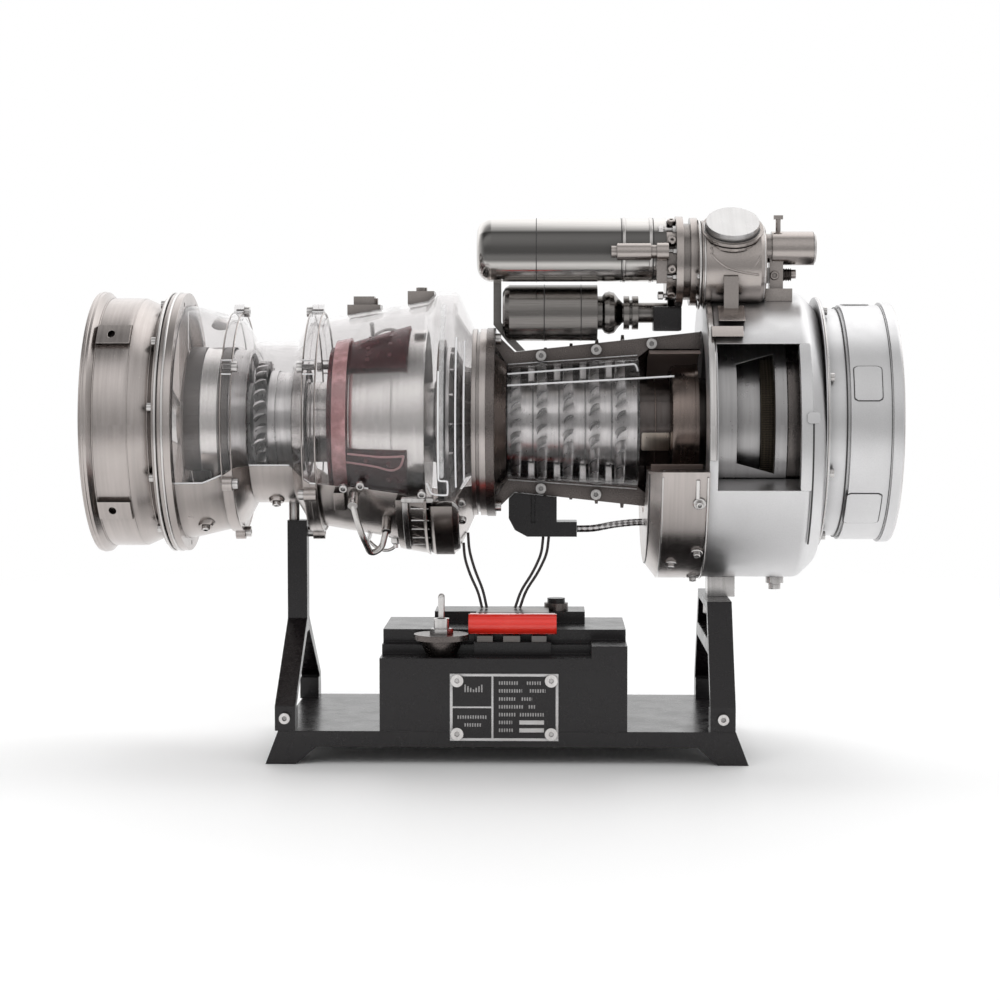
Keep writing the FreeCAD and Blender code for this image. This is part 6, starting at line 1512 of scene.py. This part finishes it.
@dataclass
class FrameTrim:
    """Seams, rims, strainer, clips and panels of the drum, the main frame and the intake.

    Attributes:
        frame_radius: Radius of the main frame.
        frame_rim: x and radius of the outline of its front rim.
        strainer_radius: Radius of the strainer in the air passage.
        drum_rims: x, radius and thickness of the rims of the separator drum.
        drum_clips: x, radius and angle of the clips on the drum.
        intake_grooves: x, radius and thickness of the dark grooves of the intake.
        intake_rims: The same of its bright rims.
        intake_radius: Radius of the intake's wide band.
        panels: x from and to, angle from and to and height of each raised panel.
    """

    frame_radius: float = 50.9
    frame_rim: Steps = (
        (74.05, 50.2), (74.05, 51.5), (74.4, 51.8), (76.0, 51.8), (76.4, 51.4), (76.4, 50.2),
    )
    strainer_radius: float = 31.6
    drum_rims: tuple[Ring, ...] = ((58.1, 55.65, 0.35), (73.3, 55.8, 0.4))
    drum_clips: tuple[Ring, ...] = (
        *ring_of(70.6, 55.7, (-28.0, -52.0, -76.0, -104.0, -132.0)),
        *ring_of(62.0, 55.7, (-60.0, -120.0)),
    )
    intake_grooves: tuple[Ring, ...] = (
        (121.4, 41.0, 0.22), (136.4, 41.75, 0.22), (138.2, 42.2, 0.22),
    )
    intake_rims: tuple[Ring, ...] = ((140.3, 42.1, 0.55), (114.7, 44.5, 0.4))
    intake_radius: float = 41.9
    panels: tuple[tuple[float, float, float, float, float], ...] = (
        (123.8, 133.2, 11.7, 28.3, 0.4), (122.3, 134.2, -55.0, -34.5, 0.25),
        (123.8, 133.2, 84.0, 101.0, 0.4), (123.0, 133.6, 150.0, 172.0, 0.4),
        (122.6, 134.0, 206.0, 230.0, 0.3),
    )

    def build(self) -> None:
        """Makes the trims of the cold end."""
        self._frame()
        self._strainer()
        self._drum()
        self._intake()

    def _frame(self) -> None:
        """Makes the main frame's split seam, the step over it, the window's jamb and the rim."""
        top = self.frame_radius
        strip = slab(108.5, 109.1, top - 0.2, top + 0.06)
        Workpiece("frame_seam").turned(strip, (-46.0, 9.0), MAIN_FRAME).done(SEAM)
        step, jamb = Workpiece("frame_step"), Workpiece("frame_jamb")
        step.patch((106.6, 111.0), (6.0, 10.2), (top - 0.3, top + 0.7), 0.8, MAIN_FRAME)
        step.done(CAST_SILVER)
        jamb.patch((104.8, 108.7), (-20.2, 39.3), (47.4, top), 0.3, MAIN_FRAME)
        jamb.done(CAST_SILVER)
        rims = Workpiece("frame_rims")
        rims.turned(self.frame_rim, (-8.0, 188.0), MAIN_FRAME).done(BRIGHT_STEEL)

    def _strainer(self) -> None:
        """Makes the strainer in the air passage."""
        radius = self.strainer_radius
        angles = [-44.0 + 88.0 * step / 59 for step in range(60)]
        bars = [[around(x, radius, turn) for x in (92.9, 95.2, 97.4)] for turn in angles]
        pipes("strainer_bars", bars, 0.22, OLIVE)
        hoops = [(x, radius, 0.2) for x in (93.0, 94.1, 95.2, 96.3, 97.4)]
        wall = Workpiece("strainer_hoops").beads(hoops, 6)
        wall.turned(slab(92.9, 97.5, radius - 1.2, radius - 0.4)).done(OLIVE)

    def _drum(self) -> None:
        """Makes the rims, the pin and the clips of the separator drum."""
        rims, edge = Workpiece("drum_rims"), Workpiece("drum_dark_rim")
        rims.beads(self.drum_rims, span=(-162.0, -18.0)).done(BRIGHT_STEEL)
        edge.beads([(54.0, 50.4, 0.4)], span=(-160.0, -19.0)).done(SEAM)
        clips = Workpiece("drum_clips").studs(self.drum_clips, ((0, 2.2), (0.6, 2.2), (0.8, 2.0)))
        clips.studs(self.drum_clips, socket_head(1.25), rise=0.8).done(BRIGHT_STEEL)
        pin = [around(69.9, 55.5, -19.0), around(69.9, 55.7, -22.5), around(69.9, 55.9, -26.0)]
        pipes("drum_pin", [pin], 0.8, BRIGHT_STEEL)

    def _intake(self) -> None:
        """Makes the grooves, the panels with their dark outlines, and the rims of the intake."""
        Workpiece("intake_grooves").beads(self.intake_grooves, 6).done(SEAM)
        foot, top = self.intake_radius - 0.3, self.intake_radius
        for place, (left, right, start, end, rise) in enumerate(self.panels):
            outline = Workpiece(f"intake_panel_rim_{place}")
            x, angles = (left - 0.35, right + 0.35), (start - 0.5, end + 0.5)
            outline.patch(x, angles, (foot, top + 0.06), 1.4).done(SEAM)
            panel = Workpiece(f"intake_panel_{place}")
            panel.patch((left, right), (start, end), (foot, top + rise)).done(CAST_SILVER)
        Workpiece("intake_rims").beads(self.intake_rims).done(BRIGHT_STEEL)


@dataclass
class AccessoryTrim:
    """Seams, tie rods, ribs and unions of the starter, the tank and the fuel control.

    Attributes:
        starter_radius: Radius of the starter.
        starter_seams: x of its seams.
        tank_radius: Radius of the tank.
        tank_seams: x of its seams.
        control_radius: Radius of the fuel control.
        control_beads: x, radius and thickness of its beads.
        control_ribs: x and angle along each rib of the control.
        control_screws: Angles of the screws on its rear face.
        neck: Foot of the control's neck.
        lean: Direction of that neck.
        rod_angles: Angles of the tie rods.
        clamp_screws: x, radius and angle of the screws of the clamp discs.
    """

    starter_radius: float = 11.2
    starter_seams: tuple[float, ...] = (15.1, 45.0, 56.2)
    tank_radius: float = 10.0
    tank_seams: tuple[float, ...] = (17.9, 31.0)
    control_radius: float = 15.3
    control_beads: tuple[Ring, ...] = ((72.0, 15.5, 0.38), (73.6, 15.2, 0.38), (94.2, 13.7, 0.38))
    control_ribs: tuple[Steps, ...] = (
        ((75.5, 12.0), (78.5, -2.0), (84.0, -12.0), (92.0, -16.0)),
        ((75.5, 20.0), (77.5, 2.0), (80.0, -26.0), (80.5, -48.0)),
        ((92.5, 8.0), (90.5, -6.0), (86.0, -30.0), (85.0, -52.0)),
    )
    control_screws: tuple[float, ...] = (-58.0, -20.0, 120.0, 165.0, 215.0)
    neck: Point = (83.3, *CONTROL)
    lean: Point = (0.0, -0.588, 0.809)
    rod_angles: tuple[float, ...] = (-62.0, -24.0, 14.0, 52.0, 90.0, 142.0, 200.0)
    clamp_screws: tuple[Ring, ...] = (*ring_of(62.4, 13.2, (-50.0, -12.0, 26.0, 64.0)),)

    def build(self) -> None:
        """Makes the accessories' trims."""
        self._cylinders()
        self._clamp()
        self._control()
        self._unions()

    def _cylinders(self) -> None:
        """Makes the seams and bands of the starter and the tank."""
        radius = self.starter_radius
        seams = Workpiece("starter_seams")
        seams.beads([(x, radius - 0.1, 0.2) for x in self.starter_seams], 6, line=STARTER)
        seams.beads([(x, self.tank_radius - 0.08, 0.2) for x in self.tank_seams], 6, line=TANK)
        seams.done(SEAM)
        bands = Workpiece("starter_bands")
        foot, top = radius - 0.2, radius + 0.3
        for left, right in ((45.3, 46.6), (54.6, 56.0)):
            outline = ((left, foot), (left + 0.2, top), (right - 0.2, top), (right, foot))
            bands.turned(outline, line=STARTER)
        bands.done(POLISHED_NICKEL)

    def _clamp(self) -> None:
        """Makes the tie rods and nuts between the starter and the fuel control."""
        rods, ahead = Workpiece("tie_rods"), Vector((1, 0, 0))
        for angle in self.rod_angles:
            foot = around(57.8, 13.7, angle, CLAMP)
            rods.stud(foot, ahead, ((0, 0.75), (8.4, 0.75)), 12)
            rods.stud(foot, ahead, ((0, 1.2), (0.2, 1.45), (1.8, 1.45), (2.0, 1.2)), 6)
            rods.stud(foot + ahead * 5.0, ahead, ((0, 1.35), (2.2, 1.35)), 6)
        rods.done(BRIGHT_STEEL)
        steps = ((0, 1.5), (2.6, 1.5), (2.9, 1.2), (2.9, 0.6), (2.2, 0.5))
        Workpiece("clamp_screws").studs(self.clamp_screws, steps, line=CLAMP).done(SATIN_NICKEL)

    def _control(self) -> None:
        """Makes the beads, the neck's collar and gasket, the ribs and screws of the control."""
        Workpiece("control_beads").beads(self.control_beads, line=CONTROL).done(BRIGHT_STEEL)
        middle, way = Vector(self.neck), Vector(self.lean)
        steps = ((0, 9.7), (0.1, 10.15), (0.7, 10.25), (1.3, 10.15), (1.4, 9.7))
        Workpiece("neck_collars").stud(middle + way * 13.2, way, steps, 48).done(SATIN_NICKEL)
        steps = ((0, 9.2), (0.05, 9.6), (0.5, 9.6), (0.55, 9.2))
        Workpiece("neck_gasket").stud(middle + way * 14.75, way, steps, 48).done(SEAM)
        top = self.control_radius - 0.15
        ribs = [[around(x, top, angle, CONTROL) for x, angle in rib] for rib in self.control_ribs]
        pipes("control_ribs", ribs, 0.45, SATIN_NICKEL)
        screws = Workpiece("control_screws")
        for angle in self.control_screws:
            foot = around(71.9, self.control_radius - 1.6, angle, CONTROL)
            screws.stud(foot, (-1, 0, 0), socket_head(1.1))
        screws.done(BRIGHT_STEEL)

    def _unions(self) -> None:
        """Makes the block, coil and rim beside the actuator, and the harness plug."""
        block, plug = Workpiece("actuator_block"), Workpiece("harness_plug")
        block.block((95.6, -16.5, 165.8), (101.0, -11.0, 171.2), 0.5).done(BRIGHT_STEEL)
        screw, coil = Workpiece("actuator_block_screw"), Workpiece("actuator_coil")
        screw.stud((98.4, -16.4, 168.4), (0, -1, 0), socket_head(1.6)).done(SATIN_NICKEL)
        turns = tuple((step * 0.4, 2.3 if step % 2 else 1.9) for step in range(10))
        coil.stud((100.9, -13.8, 168.8), (1, 0, 0), turns, 24).done(GUNMETAL)
        plug.block((56.6, -9.0, 149.2), (66.6, 1.0, 157.8), 0.6).done(BLACK_SATIN)
        rims = Workpiece("actuator_rims")
        rims.beads([(112.3, 5.7, 0.25)], line=ACTUATOR).done(BRIGHT_STEEL)


@dataclass
class StandTrim:
    """Markings of the plate, the guard's bar, and the rear cover and socket of the control box.

    Attributes:
        front: y of the plate's face.
        plate: Left, right, bottom and top of the plate.
        border: Width of its border.
        divider: x of the upright line.
        bar: z of the level line.
        rows: z of each printed row, with the x where its bars start and end.
        roll: x where the guard's rounded bar starts and ends.
        roll_radius: Radius of that bar.
        socket: Middle of the charging socket's face.
    """

    front: float = -44.8
    plate: tuple[float, float, float, float] = (-14.2, 23.0, 8.4, 31.6)
    border: float = 0.95
    divider: float = 0.4
    bar: float = 20.0
    rows: tuple[tuple[float, tuple[Span, ...]], ...] = (
        (28.4, ((2.6, 9.4), (12.2, 17.0))), (25.7, ((2.6, 10.6), (13.2, 18.6))),
        (22.9, ((2.6, 8.2), (10.4, 14.0))), (20.2, ((2.6, 11.2), (12.8, 15.2))),
        (17.5, ((2.6, 8.6), (9.8, 18.0))), (14.8, ((2.6, 7.2),)), (12.1, ((2.6, 7.4),)),
        (16.6, ((-11.6, -1.4),)), (13.9, ((-9.2, -3.4),)),
    )
    roll: Span = (-8.2, 22.4)
    roll_radius: float = 3.55
    socket: Point = (34.0, 35.8, 24.0)

    def build(self) -> None:
        """Makes the stand's trims."""
        self._guard()
        self._plate()
        self._box()

    def _strip(self, piece: Workpiece, x: Span, z: Span) -> None:
        """Adds one flat raised strip to the plate's face."""
        piece.block((x[0], self.front - 0.12, z[0]), (x[1], self.front + 0.1, z[1]), 0.04)

    def _guard(self) -> None:
        """Makes the rounded bar along the front of the red guard."""
        left, right = self.roll
        ends = (0.35, 0.72, 0.92, 1.0)
        outline = [(left + (1 - share) * 1.4, self.roll_radius * share) for share in ends]
        outline += [
            (right - (1 - share) * 1.4, self.roll_radius * share) for share in reversed(ends)
        ]
        turns = range(0, 360, 9)
        rings = [[around(*at, angle, GUARD_ROLL) for angle in turns] for at in outline]
        Workpiece("guard_roll").skin(rings).done(GUARD_RED, Body.FLAP)

    def _plate(self) -> None:
        """Makes the border, the dividing lines and the plain bars of the plate."""
        left, right, low, high = self.plate
        inner = (low + self.border, high - self.border)
        edge = self.divider - 0.35
        border = Workpiece("plate_border")
        for x, z in (
            ((left, right), (low, inner[0])),
            ((left, right), (inner[1], high)),
            ((left, left + self.border), inner),
            ((right - self.border, right), inner),
            ((edge, self.divider + 0.35), inner),
            ((left + self.border, edge), (self.bar - 0.3, self.bar + 0.3)),
            ((9.6, 18.1), (14.05, 15.55)),
            ((9.6, 18.1), (11.35, 12.85)),
        ):
            self._strip(border, x, z)
        border.done(PLATE_SILVER)
        marks = Workpiece("plate_bars")
        for z, bars in self.rows:
            for start, end in bars:
                x = start
                while x < end:
                    self._strip(marks, (x, min(x + 0.5, end)), (z - 0.62, z + 0.62))
                    x += 0.86
        for step in range(7):
            x, reach = -9.2 + step * 0.95, 0.6 + 0.55 * abs(step - 3)
            self._strip(marks, (x, x + 0.5), (25.2, 25.6 + reach))
        marks.done(PRINT_GREY)

    def _box(self) -> None:
        """Makes the rear cover with its slats and screws, and the charging socket."""
        cover = Workpiece("box_rear_cover").block((-12.0, 35.6, 16.0), (24.0, 36.3, 34.0), 0.5)
        for step in range(6):
            foot = 18.5 + step * 2.4
            cover.block((-8.0, 36.2, foot), (20.0, 36.55, foot + 1.0), 0.15)
        cover.done(BLACK_SATIN)
        back, middle = Vector((0, 1, 0)), Vector(self.socket)
        screws = Workpiece("box_rear_screws")
        for x, z in ((-10.2, 17.8), (-10.2, 32.2), (22.2, 17.8), (22.2, 32.2)):
            screws.stud((x, 36.25, z), back, socket_head(1.0))
        screws.done(BRIGHT_STEEL)
        socket, pin = Workpiece("charging_socket"), Workpiece("charging_pin")
        steps = ((0, 3.6), (1.2, 3.6), (1.4, 3.4), (1.4, 2.4), (-0.4, 2.3))
        socket.stud(middle, back, steps, 32).done(BRIGHT_STEEL)
        pin.stud(middle - back * 0.5, back, ((0, 0.6), (1.4, 0.6), (1.7, 0.3)), 14)
        pin.done(BRIGHT_STEEL)


@dataclass
class FarSide:
    """Pipes, harness and clips on the engine's far side.

    Attributes:
        duct: Control points of the air pipe.
        duct_radius: Radius of the air pipe.
        unions: Place and direction of each union on it.
        harness: Control points of each branch of the wiring harness.
        harness_radius: Radius of the wiring harness.
        clips: Middle of each of its clips.
    """

    duct: tuple[Point, ...] = (
        (-16.0, 46.0, 131.0), (-8.0, 48.6, 133.5), (4.0, 44.0, 137.0), (30.0, 38.0, 138.0),
        (52.0, 38.5, 137.0), (66.0, 43.0, 133.0), (75.0, 46.0, 130.5),
    )
    duct_radius: float = 2.4
    unions: tuple[tuple[Point, Point], ...] = (
        ((-15.4, 46.1, 131.2), (0.85, 0.25, 0.28)), ((30.0, 38.3, 137.8), (1.0, 0.0, 0.0)),
        ((72.6, 45.2, 131.2), (0.85, 0.3, -0.25)),
    )
    harness: tuple[tuple[Point, ...], ...] = (
        ((-106.0, 40.5, 121.0), (-96.0, 43.0, 120.0), (-84.0, 34.0, 118.0), (-70.0, 33.0, 116.0),
         (-61.0, 43.0, 114.0), (-40.0, 43.6, 112.0), (-18.0, 49.0, 110.0), (-4.0, 44.0, 108.0),
         (14.0, 33.0, 106.0), (40.0, 33.5, 104.0), (62.0, 45.0, 104.0), (76.0, 51.6, 106.0)),
        ((20.0, 33.0, 105.5), (26.0, 36.0, 100.0), (40.0, 34.0, 94.0), (52.0, 34.0, 88.0),
         (57.0, 36.0, 82.0)),
    )
    harness_radius: float = 1.1
    clips: tuple[Point, ...] = (
        (-96.0, 42.4, 119.9), (-52.0, 43.0, 113.0), (-30.0, 45.6, 111.0), (10.0, 34.4, 106.6),
        (44.0, 34.6, 103.9),
    )

    def build(self) -> None:
        """Makes the pipe with its unions, and the harness with its clips."""
        pipes("air_pipe", [self.duct], self.duct_radius, WARM_STEEL)
        collars = Workpiece("air_pipe_unions")
        for place, way in self.unions:
            collars.stud(place, way, ((0, 2.4), (0.1, 3.2), (2.0, 3.2), (2.1, 2.4)), 6)
        collars.done(BRIGHT_STEEL)
        pipes("harness", self.harness, self.harness_radius, BLACK_SATIN)
        clips = Workpiece("harness_clips")
        for x, y, z in self.clips:
            clips.stud((x - 1.3, y, z), (1, 0, 0), ((0, 1.2), (0.1, 1.7), (2.5, 1.7), (2.6, 1.2)))
        clips.done(BRIGHT_STEEL)


# Dressing of the frame's solids


@dataclass
class Dressing:
    """The finish of each solid of the frame.

    Attributes:
        finishes: Finishes with the nodes that wear them.
    """

    finishes: tuple[tuple[Finish, tuple[str, ...]], ...] = (
        (WARM_STEEL, (
            "exhaust_duct", "power_turbine_case", "combustor_case", "rear_ring",
            "separator_drum", "exhaust_brackets",
        )),
        (BRIGHT_STEEL, (
            "exhaust_frame", "power_turbine_shaft", "gas_generator_shaft", "turbine_stators",
            "shaft_bearings", "hot_end_screws", "cold_end_screws", "engine_mounts",
            "stand_screws", "combustor_barrel", "toggle_lever", "toggle_switch",
        )),
        (CAST_SILVER, ("main_frame", "intake_case", "intake_vanes")),
        (SHADED_PASSAGE_GREY, ("frame_liner",)),
        (SHADED_PASSAGE_BROWN, ("intake_liner",)),
        (STRIP_STEEL, ("wire_plate",)),
        (STARTER_NICKEL, ("starter",)),
        (TANK_NICKEL, ("oil_tank",)),
        (CAP_NICKEL, ("fuel_control_cap",)),
        (POLISHED_NICKEL, ("drain_tube",)),
        (SATIN_NICKEL, ("starter_flange", "fuel_control", "casing_fittings", "fuel_actuator")),
        (ROTOR_CHROME, (
            "power_turbine", "gas_generator_turbine", "compressor_rotor", "impeller",
            "compressor_stators",
        )),
        (GUNMETAL, ("compressor_case", "switch_bezels")),
        (HUB_BRONZE, ("inlet_hub",)),
        (DARK_BRONZE, ("diffuser",)),
        (CLEAR_SHELL, ("power_turbine_window", "combustor_window", "compressor_window")),
        (LINER_RED, ("combustor_liner",)),
        (BLACK_SATIN, (
            "base_plate", "control_box", "rear_leg", "front_leg", "guard_cradle",
            "start_button", "name_plate", "exciter_box",
        )),
        (GUARD_RED, ("red_guard",)),
        (MOTOR_STEEL, ("drive_motor",)),
        (BRAID_GREY, ("braided_hose",)),
        (WIRE_JACKET, ("rear_wires", "front_wires")),
        (BOARD_GREEN, ("circuit_board",)),
        (PACK_BLUE, ("battery_pack",)),
    )

    def build(self) -> None:
        """Gives every solid its finish."""
        bare = set(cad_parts)
        for finish, names in self.finishes:
            for name in names:
                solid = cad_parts[name]
                if not solid.material_slots:
                    solid.data.materials.append(finish.material())
                for held in solid.material_slots:
                    held.material = finish.material()
                bare.discard(name)
                LOG.info("piece %s", name)
        LOG.info("dressed %d solids, bare: %s", len(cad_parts), sorted(bare))


def main() -> None:
    """Builds the sub-assemblies in order."""
    logging.basicConfig(level=logging.INFO, format="%(name)s: %(message)s")
    for assembly in (
        Studio(), Dressing(), ExhaustTrim(), TurbineTrim(), CombustorTrim(), CompressorTrim(),
        FrameTrim(), AccessoryTrim(), StandTrim(), FarSide(),
    ):
        assembly.build()
        LOG.info("%s ready", type(assembly).__name__)


if __name__ == "__main__":
    main()
